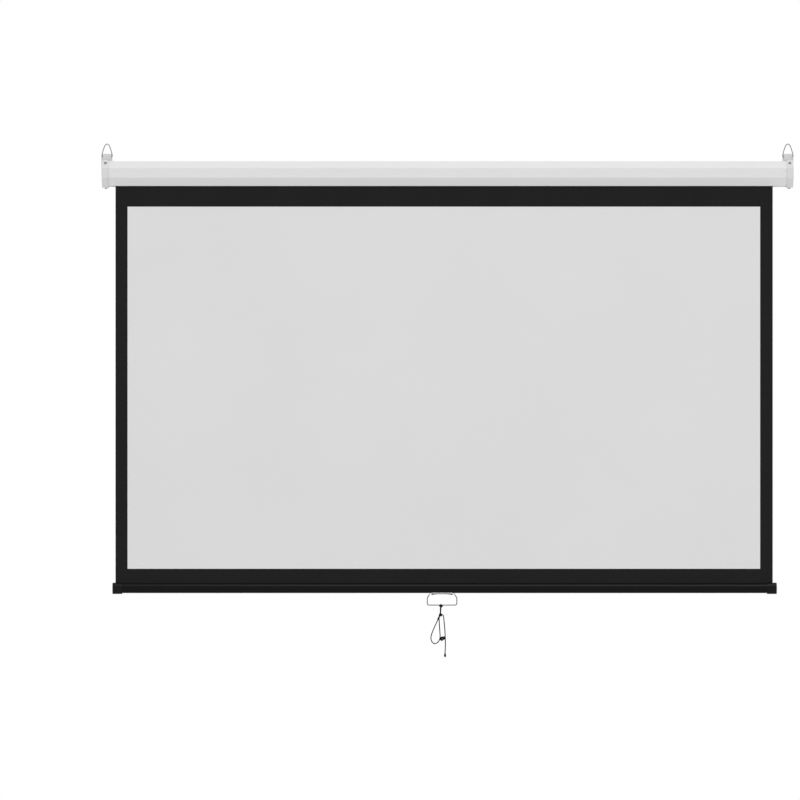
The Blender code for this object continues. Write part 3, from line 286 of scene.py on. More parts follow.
def start_finish(name, metallic=0.0, specular=0.5):
    """A material with its tree and the piece's own coordinates, in metres."""
    material = bpy.data.materials.new(name)
    material.use_nodes = True
    tree = material.node_tree
    shader = tree.nodes[SHADER]
    shader.inputs["Metallic"].default_value = metallic
    shader.inputs["Specular IOR Level"].default_value = specular
    place = add_node(tree, "ShaderNodeTexCoord").outputs["Object"]
    return material, tree, place


def vary_surface(tree, colour, roughness, relief=None):
    """Lets patterns run over a surface: (pattern, first, second) for its colour and roughness, and
    (pattern, real height in metres) for its relief. A colour is a hex value or a socket, and an
    even roughness is one number."""
    shader = tree.nodes[SHADER]
    pattern, *shades = colour
    first, second = [linear(shade) if isinstance(shade, str) else shade for shade in shades]
    blend = {MIX_FACTOR: pattern, MIX_FIRST: first, MIX_SECOND: second}
    mixed = add_node(tree, "ShaderNodeMix", blend, data_type="RGBA").outputs[MIX_RESULT]
    tree.links.new(mixed, shader.inputs["Base Color"])
    if isinstance(roughness, float):
        shader.inputs["Roughness"].default_value = roughness
    else:
        pattern, low, high = roughness
        span = {"Value": pattern, "To Min": low, "To Max": high}
        spread = add_node(tree, "ShaderNodeMapRange", span).outputs["Result"]
        tree.links.new(spread, shader.inputs["Roughness"])
    if relief:
        pattern, height = relief
        raised = add_node(tree, "ShaderNodeBump", {"Height": pattern, "Distance": height})
        tree.links.new(raised.outputs["Normal"], shader.inputs["Normal"])


# Finishes


def powder_coat():
    """White polyester powder coat on steel sheet: satin, with a faint orange peel."""
    material, tree, place = start_finish("white_powder_coat")
    peel_inputs = {"Vector": place, "Scale": per_metre(2.2 * MM), "Detail": 2.0}
    peel = add_node(tree, "ShaderNodeTexNoise", peel_inputs).outputs["Fac"]
    cloud_inputs = {"Vector": place, "Scale": per_metre(180 * MM), "Detail": 3.0}
    cloud = add_node(tree, "ShaderNodeTexNoise", cloud_inputs).outputs["Fac"]
    vary_surface(tree, (cloud, "#D4D4D4", "#D9D9D9"), (peel, 0.36, 0.48), (peel, 0.03 * MM))
    return material


def moulded_abs():
    """White moulded ABS: a fine spark-eroded grain, a little warmer and duller than the casing.

    The real grain is about 0.3 mm. It and the black caps' are drawn coarser, so that they show.
    """
    material, tree, place = start_finish("white_moulded_abs")
    grain_inputs = {"Vector": place, "Scale": per_metre(0.9 * MM), "Detail": 3.0}
    grain = add_node(tree, "ShaderNodeTexNoise", grain_inputs).outputs["Fac"]
    flow_inputs = {"Vector": place, "Scale": per_metre(25 * MM), "Detail": 2.0, "Distortion": 0.6}
    flow = add_node(tree, "ShaderNodeTexNoise", flow_inputs).outputs["Fac"]
    colour = (flow, "#CBCBCB", "#D2D2D1")
    vary_surface(tree, colour, (grain, 0.44, 0.58), (grain, 0.02 * MM))
    return material


def woven_relief(tree, place):
    """Warp and weft of a plain weave as one height pattern."""
    bands = {"Vector": place, "Scale": per_band(THREAD_SPACING)}
    warp = add_node(tree, "ShaderNodeTexWave", bands, bands_direction="X").outputs["Fac"]
    weft = add_node(tree, "ShaderNodeTexWave", bands, bands_direction="Z").outputs["Fac"]
    return add_node(tree, "ShaderNodeMath", {0: warp, 1: weft}, operation="MULTIPLY").outputs[0]


def matt_white_coating():
    """Matt white PVC coating on woven glass cloth; the weave just telegraphs through it."""
    material, tree, place = start_finish("matt_white_coating", specular=0.25)
    weave = woven_relief(tree, place)
    drift_inputs = {"Vector": place, "Scale": per_metre(420 * MM), "Detail": 2.0}
    drift = add_node(tree, "ShaderNodeTexNoise", drift_inputs).outputs["Fac"]
    vary_surface(tree, (drift, "#D4D4D4", "#D8D8D8"), 0.9, (weave, 0.012 * MM))
    return material


def black_border_ink():
    """Black masking printed on the same cloth: dense and matt, with the weave still in it."""
    material, tree, place = start_finish("black_border_ink", specular=0.1)
    weave = woven_relief(tree, place)
    drift_inputs = {"Vector": place, "Scale": per_metre(90 * MM), "Detail": 3.0}
    drift = add_node(tree, "ShaderNodeTexNoise", drift_inputs).outputs["Fac"]
    colour = (drift, "#161616", "#1D1D1D")
    vary_surface(tree, colour, (drift, 0.64, 0.76), (weave, 0.02 * MM))
    return material


def black_backing():
    """Black PVC backing: duller than the border, with the cloth's texture open on it."""
    material, tree, place = start_finish("black_backing", specular=0.15)
    weave = woven_relief(tree, place)
    fleck_inputs = {"Vector": place, "Scale": per_metre(6 * MM), "Detail": 4.0}
    fleck = add_node(tree, "ShaderNodeTexNoise", fleck_inputs).outputs["Fac"]
    vary_surface(tree, (fleck, "#161616", "#1D1D1D"), 0.75, (weave, 0.05 * MM))
    return material


def stretched_lines(tree, place, width, length):
    """Lines that run along X, such as a die leaves. Real ones are about 0.2 mm wide, and these are
    drawn wider, so that they show."""
    stretch = {"Vector": place, "Scale": (width / length, 1.0, 1.0)}
    lines = add_node(tree, "ShaderNodeMapping", stretch).outputs["Vector"]
    noise = {"Vector": lines, "Scale": per_metre(width), "Detail": 3.0}
    return add_node(tree, "ShaderNodeTexNoise", noise).outputs["Fac"]


def black_anodised():
    """Black anodised extrusion: the die's fine lines run along it under a satin black oxide."""
    material, tree, place = start_finish("black_anodised_aluminium", specular=0.12)
    lines = stretched_lines(tree, place, 1.2 * MM, 160 * MM)
    colour = (lines, "#020202", "#070707")
    vary_surface(tree, colour, (lines, 0.21, 0.33), (lines, 0.006 * MM))
    return material


def black_moulded():
    """Black moulded plastic of the bar's end caps: satin, with a light grain."""
    material, tree, place = start_finish("black_moulded_plastic", specular=0.14)
    grain_inputs = {"Vector": place, "Scale": per_metre(1.0 * MM), "Detail": 3.0}
    grain = add_node(tree, "ShaderNodeTexNoise", grain_inputs).outputs["Fac"]
    colour = (grain, "#050505", "#0A0A0A")
    vary_surface(tree, colour, (grain, 0.25, 0.37), (grain, 0.008 * MM))
    return material


def black_coated_steel():
    """Black lacquer on pressed steel strip: a little glossier, worn brown-grey here and there."""
    material, tree, place = start_finish("black_coated_steel", specular=0.15)
    wear_inputs = {"Vector": place, "Scale": per_metre(7 * MM), "Detail": 5.0, "Roughness": 0.7}
    wear = add_node(tree, "ShaderNodeTexNoise", wear_inputs).outputs["Fac"]
    vary_surface(tree, (wear, "#0A0A0A", "#151413"), (wear, 0.3, 0.5), (wear, 0.02 * MM))
    return material


def plated_wire(name, dark, light, painted_highlight=False):
    """Nickel-plated drawn steel wire: bright, with the soft streaks that the drawing die leaves.

    The handle's wire is greyer, and has a painted highlight along its top, where it turns in its
    bracket.
    """
    material, tree, place = start_finish(name, metallic=1.0)
    streak_inputs = {"Vector": place, "Scale": per_metre(1.6 * MM), "Detail": 2.0}
    streak = add_node(tree, "ShaderNodeTexNoise", streak_inputs).outputs["Fac"]
    colour = (streak, dark, light)
    # Painted highlight: above a set height the wire's colour turns pale, standing in for light
    # falling on its top.
    if painted_highlight:
        height = add_node(tree, "ShaderNodeSeparateXYZ", {"Vector": place}).outputs["Z"]
        highlight_band = {"From Min": HIGHLIGHT_FROM_Z, "From Max": HIGHLIGHT_FROM_Z + HIGHLIGHT_FADE}
        highlight_share = add_node(tree, "ShaderNodeMapRange", {"Value": height, **highlight_band}).outputs["Result"]
        shades = {MIX_FACTOR: streak, MIX_FIRST: linear(dark), MIX_SECOND: linear(light)}
        plain = add_node(tree, "ShaderNodeMix", shades, data_type="RGBA").outputs[MIX_RESULT]
        colour = (highlight_share, plain, "#D2D2D0")
    vary_surface(tree, colour, (streak, 0.18, 0.32), (streak, 0.008 * MM))
    return material


def zinc_plate():
    """Clear-passivated zinc plate: pale grey with a faint blue and straw cast, and fine scuffs."""
    material, tree, place = start_finish("zinc_plate", metallic=1.0)
    cast_inputs = {"Vector": place, "Scale": per_metre(5 * MM), "Detail": 3.0}
    cast = add_node(tree, "ShaderNodeTexNoise", cast_inputs).outputs["Fac"]
    scuff_inputs = {"Vector": place, "Scale": per_metre(0.7 * MM), "Detail": 4.0}
    scuff = add_node(tree, "ShaderNodeTexNoise", scuff_inputs).outputs["Fac"]
    colour = (cast, "#838A92", "#95948C")
    vary_surface(tree, colour, (scuff, 0.22, 0.42), (scuff, 0.01 * MM))
    return material


def oiled_spring_wire():
    """Oil-tempered spring wire: dark blue-grey with an oily sheen."""
    material, tree, place = start_finish("oiled_spring_wire", metallic=1.0)
    film_inputs = {"Vector": place, "Scale": per_metre(9 * MM), "Detail": 2.0}
    film = add_node(tree, "ShaderNodeTexNoise", film_inputs).outputs["Fac"]
    vary_surface(tree, (film, "#4B4F55", "#615F5A"), (film, 0.22, 0.4))
    return material


def mill_aluminium():
    """Drawn aluminium tube, mill finish: long fine lines and a soft grey sheen."""
    material, tree, place = start_finish("mill_aluminium", metallic=1.0)
    lines = stretched_lines(tree, place, 0.9 * MM, 220 * MM)
    colour = (lines, "#A1A4A7", "#B2B5B8")
    vary_surface(tree, colour, (lines, 0.32, 0.5), (lines, 0.01 * MM))
    return material


def natural_nylon():
    """Unpigmented nylon: milky, slightly yellow, waxy."""
    material, tree, place = start_finish("natural_nylon")
    cloud_inputs = {"Vector": place, "Scale": per_metre(8 * MM), "Detail": 2.0}
    cloud = add_node(tree, "ShaderNodeTexNoise", cloud_inputs).outputs["Fac"]
    vary_surface(tree, (cloud, "#D3CDBC", "#DDD9CC"), (cloud, 0.4, 0.52))
    return material


def braided_polyester():
    """Black polyester yarn: dull, with a fibrous break-up along each strand.

    Real fibres are about 0.02 mm. They are drawn as thin bundles, so that they show.
    """
    material, tree, place = start_finish("black_braided_polyester", specular=0.1)
    fibre_inputs = {"Vector": place, "Scale": per_metre(0.35 * MM), "Detail": 3.0}
    fibre = add_node(tree, "ShaderNodeTexNoise", fibre_inputs).outputs["Fac"]
    vary_surface(tree, (fibre, "#050505", "#0E0E0E"), 0.85, (fibre, 0.04 * MM))
    return material


# Camera and studio


def make_camera():
    data = bpy.data.cameras.new("camera")
    data.sensor_width = CAMERA_SENSOR
    data.lens = CAMERA_LENS
    data.clip_end = CAMERA_REACH
    camera = bpy.data.objects.new("camera", data)
    camera.location = CAMERA_PLACE
    camera.rotation_euler = (math.radians(90), 0, 0)
    bpy.context.scene.collection.objects.link(camera)
    bpy.context.scene.camera = camera


def seen_directly(tree):
    """1 for a ray that the camera, a gloss or a glass sends, 0 for one that only lights."""
    rays = add_node(tree, "ShaderNodeLightPath").outputs
    glossy = {0: rays["Is Camera Ray"], 1: rays["Is Glossy Ray"]}
    either = add_node(tree, "ShaderNodeMath", glossy, operation="MAXIMUM").outputs[0]
    through = {0: either, 1: rays["Is Transmission Ray"]}
    return add_node(tree, "ShaderNodeMath", through, operation="MAXIMUM").outputs[0]


def make_world():
    """Soft light from all round, a little stronger from above, with white where it is looked at."""
    world = bpy.data.worlds.new("studio")
    world.use_nodes = True
    tree = world.node_tree
    background = tree.nodes["Background"]
    background.inputs["Color"].default_value = (1, 1, 1, 1)
    direction = add_node(tree, "ShaderNodeTexCoord").outputs["Generated"]
    height = add_node(tree, "ShaderNodeSeparateXYZ", {"Vector": direction}).outputs["Z"]
    rise = {"Value": height, "To Min": HORIZON_LIGHT, "To Max": ZENITH_LIGHT}
    sky = add_node(tree, "ShaderNodeMapRange", rise).outputs["Result"]
    span = {"Value": seen_directly(tree), "To Min": sky, "To Max": 1.0}
    strength = add_node(tree, "ShaderNodeMapRange", span).outputs["Result"]
    tree.links.new(strength, background.inputs["Strength"])
    bpy.context.scene.world = world


def make_key_light():
    """One large soft box, above and in front."""
    data = bpy.data.lights.new("key", "AREA")
    data.shape = "SQUARE"
    data.size = KEY_SIZE
    data.energy = KEY_POWER
    key = bpy.data.objects.new("key", data)
    key.location = KEY_PLACE
    aim = Vector(KEY_AIM) - Vector(KEY_PLACE)
    key.rotation_mode = "QUATERNION"
    key.rotation_quaternion = aim.to_track_quat("-Z", "Y")
    bpy.context.scene.collection.objects.link(key)


def floor_finish():
    """Pale matt floor that runs out to plain white away from the object's shadow."""
    material, tree, place = start_finish("pale_floor", specular=0.1)
    shader = tree.nodes[SHADER]
    shader.inputs["Base Color"].default_value = linear("#F6F6F6")
    shader.inputs["Roughness"].default_value = 0.9
    length = add_node(tree, "ShaderNodeVectorMath", {0: place}, operation="LENGTH")
    far = {"Value": length.outputs["Value"], "From Min": FADE_START, "From Max": FADE_END}
    far_share = add_node(tree, "ShaderNodeMapRange", far).outputs["Result"]
    shown = {0: far_share, 1: seen_directly(tree)}
    share = add_node(tree, "ShaderNodeMath", shown, operation="MULTIPLY").outputs[0]
    white = add_node(tree, "ShaderNodeEmission", {"Color": (1, 1, 1, 1), "Strength": 1.0})
    inputs = {0: share, 1: shader.outputs["BSDF"], 2: white.outputs["Emission"]}
    mixed = add_node(tree, "ShaderNodeMixShader", inputs)
    tree.links.new(mixed.outputs["Shader"], tree.nodes["Material Output"].inputs["Surface"])
    return material


def make_floor():
    bm = bmesh.new()
    bmesh.ops.create_circle(bm, cap_ends=True, radius=FLOOR_RADIUS, segments=FLOOR_SIDES)
    mesh = bpy.data.meshes.new("floor")
    bm.to_mesh(mesh)
    bm.free()
    mesh.materials.append(floor_finish())
    floor = bpy.data.objects.new("floor", mesh)
    floor.location = (0, 0, FLOOR_Z)
    bpy.context.scene.collection.objects.link(floor)


# Pieces and their shading


def add_piece(name, mesh):
    piece = bpy.data.objects.new(name, mesh)
    bpy.context.scene.collection.objects.link(piece)
    return piece


def closed_mesh(bm, name):
    """A mesh from a closed shape, with its faces turned outwards."""
    bmesh.ops.recalc_face_normals(bm, faces=bm.faces)
    mesh = bpy.data.meshes.new(name)
    bm.to_mesh(mesh)
    bm.free()
    return mesh


def body_of_node(node):
    bodies = frame["record"]["behaviour"]["bodies"]
    return next(body for body, members in bodies.items() if node in members)


def smooth_edges(mesh, angle):
    """Smooth shading, with edges sharper than the angle, in degrees, kept crisp."""
    mesh.shade_smooth()
    mesh.set_sharp_from_angle(angle=math.radians(angle))


def flat_areas(faces):
    """For each face, the area of the whole flat that it is part of."""
    areas = {}
    limit = math.radians(FLAT_ANGLE)
    for first in faces:
        if first in areas:
            continue
        flat, queue = {first}, [first]
        while queue:
            for edge in queue.pop().edges:
                for near in edge.link_faces:
                    if near not in flat and near.normal.angle(first.normal, 0.0) < limit:
                        flat.add(near)
                        queue.append(near)
        total = sum(face.calc_area() for face in flat)
        areas.update((face, total) for face in flat)
    return areas


def shade_by_flats(bm, mesh, angle):
    """Smooth shading led by the large flats, with corners sharper than the angle kept crisp."""
    mesh.shade_smooth()
    areas = flat_areas(bm.faces)
    limit = math.cos(math.radians(angle))
    normals = []
    for face in bm.faces:
        for loop in face.loops:
            beside = [f for f in loop.vert.link_faces if f.normal.dot(face.normal) >= limit]
            lead = sum((f.normal * areas[f] for f in beside), Vector())
            normals.append(lead.normalized())
    mesh.normals_split_custom_set(normals)


def finish_node(node, material, angle=SOLID_CORNER):
    """A merged, smoothly shaded copy of a CAD node, in its place and with its finish."""
    bm = bmesh.new()
    bm.from_mesh(frame["nodes"][node].data)
    bmesh.ops.remove_doubles(bm, verts=bm.verts, dist=MERGE_DISTANCE)
    bm.normal_update()
    mesh = bpy.data.meshes.new(f"{node}_finished")
    bm.to_mesh(mesh)
    shade_by_flats(bm, mesh, angle)
    bm.free()
    mesh.materials.clear()
    mesh.materials.append(material)
    piece = add_piece(f"{node}_finished", mesh)
    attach(piece, body_of_node(node))
    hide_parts(node)
    return piece


# Trees that grow pieces


def start_tree(name, sizes):
    """A Geometry Nodes tree with named sizes and a material, its inputs and its output node."""
    tree = bpy.data.node_groups.new(name, "GeometryNodeTree")
    tree.interface.new_socket("Geometry", in_out="INPUT", socket_type="NodeSocketGeometry")
    for label, kind in {**sizes, "Material": "Material"}.items():
        tree.interface.new_socket(label, in_out="INPUT", socket_type=f"NodeSocket{kind}")
    tree.interface.new_socket("Geometry", in_out="OUTPUT", socket_type="NodeSocketGeometry")
    return tree, add_node(tree, "NodeGroupInput").outputs, add_node(tree, "NodeGroupOutput")


def end_tree(tree, geometry, given, output):
    """Realises the instances, gives the material and links the result out."""
    real = add_node(tree, "GeometryNodeRealizeInstances", {"Geometry": geometry}).outputs[0]
    dress = {"Geometry": real, "Material": given["Material"]}
    dressed = add_node(tree, "GeometryNodeSetMaterial", dress)
    tree.links.new(dressed.outputs[0], output.inputs["Geometry"])
    return tree


def sweep_round(tree, line, radius, sides):
    """A round bar along a line, closed at its ends."""
    ring = {"Resolution": sides, "Radius": radius}
    section = add_node(tree, "GeometryNodeCurvePrimitiveCircle", ring).outputs["Curve"]
    swept = {"Curve": line, "Profile Curve": section, "Fill Caps": True}
    return add_node(tree, "GeometryNodeCurveToMesh", swept).outputs["Mesh"]


def wind_round(tree, coil_radius, turns, length, radius, sides):
    """A round bar wound about +Z from the origin upwards."""
    spiral = {"Resolution": HELIX_STEPS, "Rotations": turns, "Height": length}
    spiral |= {"Start Radius": coil_radius, "End Radius": coil_radius}
    line = add_node(tree, "GeometryNodeCurveSpiral", spiral).outputs["Curve"]
    return sweep_round(tree, line, radius, sides)


def grow(name, source, tree, values):
    """Runs a tree on a mesh or curve and keeps the result as a plain mesh piece."""
    modifier = source.modifiers.new(tree.name, "NODES")
    modifier.node_group = tree
    for item in tree.interface.items_tree:
        if item.in_out == "INPUT" and item.name in values:
            modifier[item.identifier] = values[item.name]
    graph = bpy.context.evaluated_depsgraph_get()
    mesh = bpy.data.meshes.new_from_object(source.evaluated_get(graph), depsgraph=graph)
    mesh.name = name
    bpy.data.objects.remove(source)
    return add_piece(name, mesh)


def smooth_curve(points, count):
    """Evenly spaced points on the smooth curve through a few."""
    knots = [Vector(p) for p in points]
    knots = [2 * knots[0] - knots[1], *knots, 2 * knots[-1] - knots[-2]]
    fine = []
    for a, b, c, d in zip(knots, knots[1:], knots[2:], knots[3:]):
        for step in range(CURVE_STEPS):
            t = step / CURVE_STEPS
            steady = 2 * b + (c - a) * t
            bent = (2 * a - 5 * b + 4 * c - d) * t * t + (3 * b - a - 3 * c + d) * t**3
            fine.append((steady + bent) / 2)
    fine.append(knots[-2])
    lengths = [0.0]
    for first, second in zip(fine, fine[1:]):
        lengths.append(lengths[-1] + (second - first).length)
    spaced = []
    j = 0
    for i in range(count):
        target = lengths[-1] * i / (count - 1)
        while j < len(lengths) - 2 and lengths[j + 1] < target:
            j += 1
        share = (target - lengths[j]) / (lengths[j + 1] - lengths[j])
        spaced.append(fine[j].lerp(fine[j + 1], share))
    return spaced


def path_curve(name, points, closed):
    """A curve object through the points, for a tree to follow."""
    curve = bpy.data.curves.new(name, "CURVE")
    curve.dimensions = "3D"
    spline = curve.splines.new("POLY")
    spline.points.add(len(points) - 1)
    for point, place in zip(spline.points, points):
        point.co = (*place, 1.0)
    spline.use_cyclic_u = closed
    return add_piece(f"{name}_route", curve)


# Pull cord and its knots


def braid_tree():
    """Eight strands, four each way, that pass over and under each other round a core."""
    sizes = {"Diameter": "Float", "Pitch": "Float", "Steps": "Int"}
    tree, given, output = start_tree("braid", sizes)
    route = given["Geometry"]
    number = add_node(tree, "GeometryNodeInputNamedAttribute", {"Name": "number"}, data_type="INT")
    values = {
        "diameter": given["Diameter"],
        "pitch": given["Pitch"],
        "steps": given["Steps"],
        "length": add_node(tree, "GeometryNodeCurveLength", {"Curve": route}).outputs["Length"],
        "along": add_node(tree, "GeometryNodeSplineParameter").outputs["Length"],
        "number": number.outputs["Attribute"],
    }
    # Each row is one step: its result, what is done, and with which two values. A strand's number
    # gives its hand, +1 or -1, and its phase round the cord.
    steps = [
        ("pitches", "DIVIDE", "length", "pitch"),
        ("points", "MULTIPLY", "pitches", "steps"),
        ("odd", "MODULO", "number", 2.0),
        ("twice_odd", "MULTIPLY", "odd", 2.0),
        ("hand", "SUBTRACT", 1.0, "twice_odd"),
        ("half_number", "DIVIDE", "number", 2.0),
        ("pair", "FLOOR", "half_number", 0.0),
        ("phase", "MULTIPLY", "pair", 4 * math.pi / STRANDS),
        ("turns", "DIVIDE", "along", "pitch"),
        ("turn", "MULTIPLY", "turns", 2 * math.pi),
        ("own_turn", "MULTIPLY", "turn", "hand"),
        ("angle", "ADD", "own_turn", "phase"),
        ("crossings", "MULTIPLY", "turn", STRANDS / 2),
        ("over", "COSINE", "crossings", 0.0),
        ("own_over", "MULTIPLY", "over", "hand"),
        ("weave", "MULTIPLY", "own_over", STRAND_WEAVE),
        ("share", "ADD", STRAND_CIRCLE, "weave"),
        ("radius", "MULTIPLY", "diameter", "share"),
        ("cosine", "COSINE", "angle", 0.0),
        ("out", "MULTIPLY", "radius", "cosine"),
        ("sine", "SINE", "angle", 0.0),
        ("aside", "MULTIPLY", "radius", "sine"),
        ("strand", "MULTIPLY", "diameter", STRAND_RADIUS),
        ("core", "MULTIPLY", "diameter", CORE_RADIUS),
    ]
    for result, operation, first, second in steps:
        terms = {0: values.get(first, first), 1: values.get(second, second)}
        values[result] = add_node(tree, "ShaderNodeMath", terms, operation=operation).outputs[0]

    spaced = {"Curve": route, "Count": values["points"]}
    core_line = add_node(tree, "GeometryNodeResampleCurve", spaced).outputs["Curve"]
    copies = {"Geometry": core_line, "Amount": STRANDS}
    strands = add_node(tree, "GeometryNodeDuplicateElements", copies, domain="SPLINE").outputs
    keep = {"Geometry": strands["Geometry"], "Name": "number", "Value": strands["Duplicate Index"]}
    kind = {"domain": "CURVE", "data_type": "INT"}
    numbered = add_node(tree, "GeometryNodeStoreNamedAttribute", keep, **kind).outputs["Geometry"]

    normal = add_node(tree, "GeometryNodeInputNormal").outputs["Normal"]
    tangent = add_node(tree, "GeometryNodeInputTangent").outputs["Tangent"]
    across = {0: tangent, 1: normal}
    cross = add_node(tree, "ShaderNodeVectorMath", across, operation="CROSS_PRODUCT").outputs[0]
    parts = []
    for way, distance in ((normal, values["out"]), (cross, values["aside"])):
        stretch = {"Vector": way, "Scale": distance}
        parts.append(add_node(tree, "ShaderNodeVectorMath", stretch, operation="SCALE").outputs[0])
    both = dict(enumerate(parts))
    offset = add_node(tree, "ShaderNodeVectorMath", both, operation="ADD").outputs[0]
    moved = {"Geometry": numbered, "Offset": offset}
    wound = add_node(tree, "GeometryNodeSetPosition", moved).outputs["Geometry"]

    meshes = [
        sweep_round(tree, wound, values["strand"], STRAND_SIDES),
        sweep_round(tree, core_line, values["core"], CORE_SIDES),
    ]
    joined = add_node(tree, "GeometryNodeJoinGeometry", {"Geometry": meshes}).outputs["Geometry"]
    return end_tree(tree, joined, given, output)


def braid(name, points, tree, material, closed=False):
    """A braided cord along points, as one mesh piece that moves with the cord."""
    values = {"Diameter": CORD_DIAMETER, "Pitch": BRAID_PITCH, "Steps": BRAID_STEPS}
    values["Material"] = material
    piece = grow(name, path_curve(name, points, closed), tree, values)
    smooth_edges(piece.data, ROUND_CORNER)
    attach(piece, "cord")
    return piece


def knot_points(centre, size, tilt, crossings, flare):
    """A closed knot drawn tight: its size is (width, depth, height), tilted in the view."""
    points = []
    turned = Matrix.Rotation(math.radians(tilt), 3, "Y")
    top, foot = flare
    for i in range(KNOT_POINTS):
        t = 2 * math.pi * i / KNOT_POINTS
        reach = (2 + math.cos(crossings * t)) / 3
        x = reach * math.sin(2 * t)
        z = reach * math.cos(2 * t)
        y = -math.sin(crossings * t)
        x *= foot + (top - foot) * (z + 1) / 2
        local = Vector((x * size[0] / 2, y * size[1] / 2, z * size[2] / 2))
        points.append(centre + turned @ local)
    return points


def hitch_points(wire, start):
    """From the upper knot up beside the cord, over the handle's wire and down into its hitch."""
    around = HANDLE_WIRE_RADIUS + HITCH_PRESS * CORD_DIAMETER
    points = [wire + Vector(p) * MM for p in HITCH_LEG]
    for step in range(HITCH_STEPS + 1):
        angle = math.radians(HITCH_FROM + HITCH_STEP * step)
        x = start.x + HITCH_HALF_WIDTH * (2 * step / HITCH_STEPS - 1)
        turn = Vector((0, math.cos(angle), math.sin(angle))) * around
        points.append(Vector((x, wire.y, wire.z)) + turn)
    forwards, down = HITCH_END
    end = Vector((start.x + HITCH_HALF_WIDTH, wire.y + forwards * MM, wire.z + down * MM))
    return [*points, end]


def make_cord(tree, material, bead_material):
    """The pull cord, its hitch on the handle, its knots and the bead at its end."""
    low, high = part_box("pull_handle")
    middle = (low + high) / 2
    half_wire = (high.y - low.y) / 2
    wire = Vector((middle.x, middle.y, low.z + half_wire))
    route = [wire + Vector(p) * MM for p in CORD_ROUTE]
    path = smooth_curve(route, CORD_POINTS)
    cord = braid("braided_cord", path, tree, material)
    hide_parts("pull_cord")
    hitch_path = smooth_curve(hitch_points(wire, route[0]), HITCH_POINTS)
    on_cord = [braid("cord_hitch", hitch_path, tree, material)]
    for name, (centre, size, *form) in KNOTS.items():
        path_round = knot_points(wire + Vector(centre) * MM, Vector(size) * MM, *form)
        on_cord.append(braid(name, path_round, tree, material, closed=True))
    on_cord.append(finish_node("cord_bead", bead_material, BEAD_CORNER))


# Projection sheet


def span_stops(marks):
    """Positions from the first mark to the last, each mark kept, no further apart than a cell."""
    stops = [marks[0]]
    for start, end in zip(marks, marks[1:]):
        parts = max(1, math.ceil((end - start) / SHEET_CELL))
        stops += [start + (end - start) * i / parts for i in range(1, parts + 1)]
    return stops


def sheet_bow(x, z, low, high):
    """How far the hanging cloth stands off its plane: slow waves, and edges that curl forwards."""
    down = (high.z - z) / (high.z - low.z)
    across = (x - low.x) / (high.x - low.x)
    hold = math.sin(math.pi * min(1.0, max(0.0, down))) ** HOLD_POWER
    wave_across = math.sin(2 * math.pi * (WAVES_ACROSS * across + WAVE_START_ACROSS))
    wave_down = math.sin(2 * math.pi * (WAVES_DOWN * down + WAVE_START_DOWN))
    ripple = math.sin(2 * math.pi * (RIPPLES_ACROSS * across - RIPPLES_DOWN * down))
    wave = SHEET_WAVE * (wave_across * wave_down + RIPPLE_SHARE * ripple)
    edge = min(x - low.x, high.x - x) / SHEET_CURL_WIDTH
    curl = SHEET_EDGE_CURL * max(0.0, 1.0 - edge) ** 2
    return hold * (wave - curl)


def make_sheet(white, border, backing):
    """The hanging cloth: white picture, black border in front, black all over behind."""
    low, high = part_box("screen_fabric")
    middle_y = (low.y + high.y) / 2
    xs = span_stops([low.x, PICTURE_LEFT_X, PICTURE_RIGHT_X, high.x])
    zs = span_stops([low.z, PICTURE_BOTTOM_Z, PICTURE_TOP_Z, high.z])
    finishes = (white, border, backing)
    bm = bmesh.new()
    layers = []
    for side in (-1, 1):
        layer = []
        for z in zs:
            ys = [middle_y + sheet_bow(x, z, low, high) + side * SHEET_THICKNESS / 2 for x in xs]
            layer.append([bm.verts.new((x, y, z)) for x, y in zip(xs, ys)])
        layers.append(layer)
    front, back = layers
    last_row, last_column = len(zs) - 1, len(xs) - 1
    for j in range(last_row):
        for i in range(last_column):
            corners = (front[j][i], front[j][i + 1], front[j + 1][i + 1], front[j + 1][i])
            in_x = PICTURE_LEFT_X < (xs[i] + xs[i + 1]) / 2 < PICTURE_RIGHT_X
            in_z = PICTURE_BOTTOM_Z < (zs[j] + zs[j + 1]) / 2 < PICTURE_TOP_Z
            shown = white if in_x and in_z else border
            bm.faces.new(corners).material_index = finishes.index(shown)
            corners = (back[j][i], back[j + 1][i], back[j + 1][i + 1], back[j][i + 1])
            bm.faces.new(corners).material_index = finishes.index(backing)
    rim = [((j, i), (j, i + 1)) for j in (0, last_row) for i in range(last_column)]
    rim += [((j, i), (j + 1, i)) for i in (0, last_column) for j in range(last_row)]
    for (j, i), (next_j, next_i) in rim:
        corners = (front[j][i], front[next_j][next_i], back[next_j][next_i], back[j][i])
        bm.faces.new(corners).material_index = finishes.index(backing)
    mesh = closed_mesh(bm, "projection_sheet")
    for finish in finishes:
        mesh.materials.append(finish)
    smooth_edges(mesh, SHEET_CORNER)
    sheet = add_piece("projection_sheet", mesh)
    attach(sheet, "casing")
    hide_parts("screen_fabric")
    length = high.z - low.z
    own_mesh(sheet)
    return sheet, (high.x - low.x, length)


# Wire loops and handle


def wire_tree():
    """A round wire drawn along a path."""
    tree, given, output = start_tree("draw_wire", {"Wire Radius": "Float", "Sides": "Int"})
    wire = sweep_round(tree, given["Geometry"], given["Wire Radius"], given["Sides"])
    return end_tree(tree, wire, given, output)


def draw_wire(node, points, radius, tree, material, closed=False):
    """The wire in place of its CAD node, finer round and along."""
    values = {"Wire Radius": radius, "Sides": WIRE_SIDES, "Material": material}
    piece = grow(f"{node}_drawn", path_curve(node, points, closed), tree, values)
    smooth_edges(piece.data, ROUND_CORNER)
    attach(piece, body_of_node(node))
    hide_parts(node)


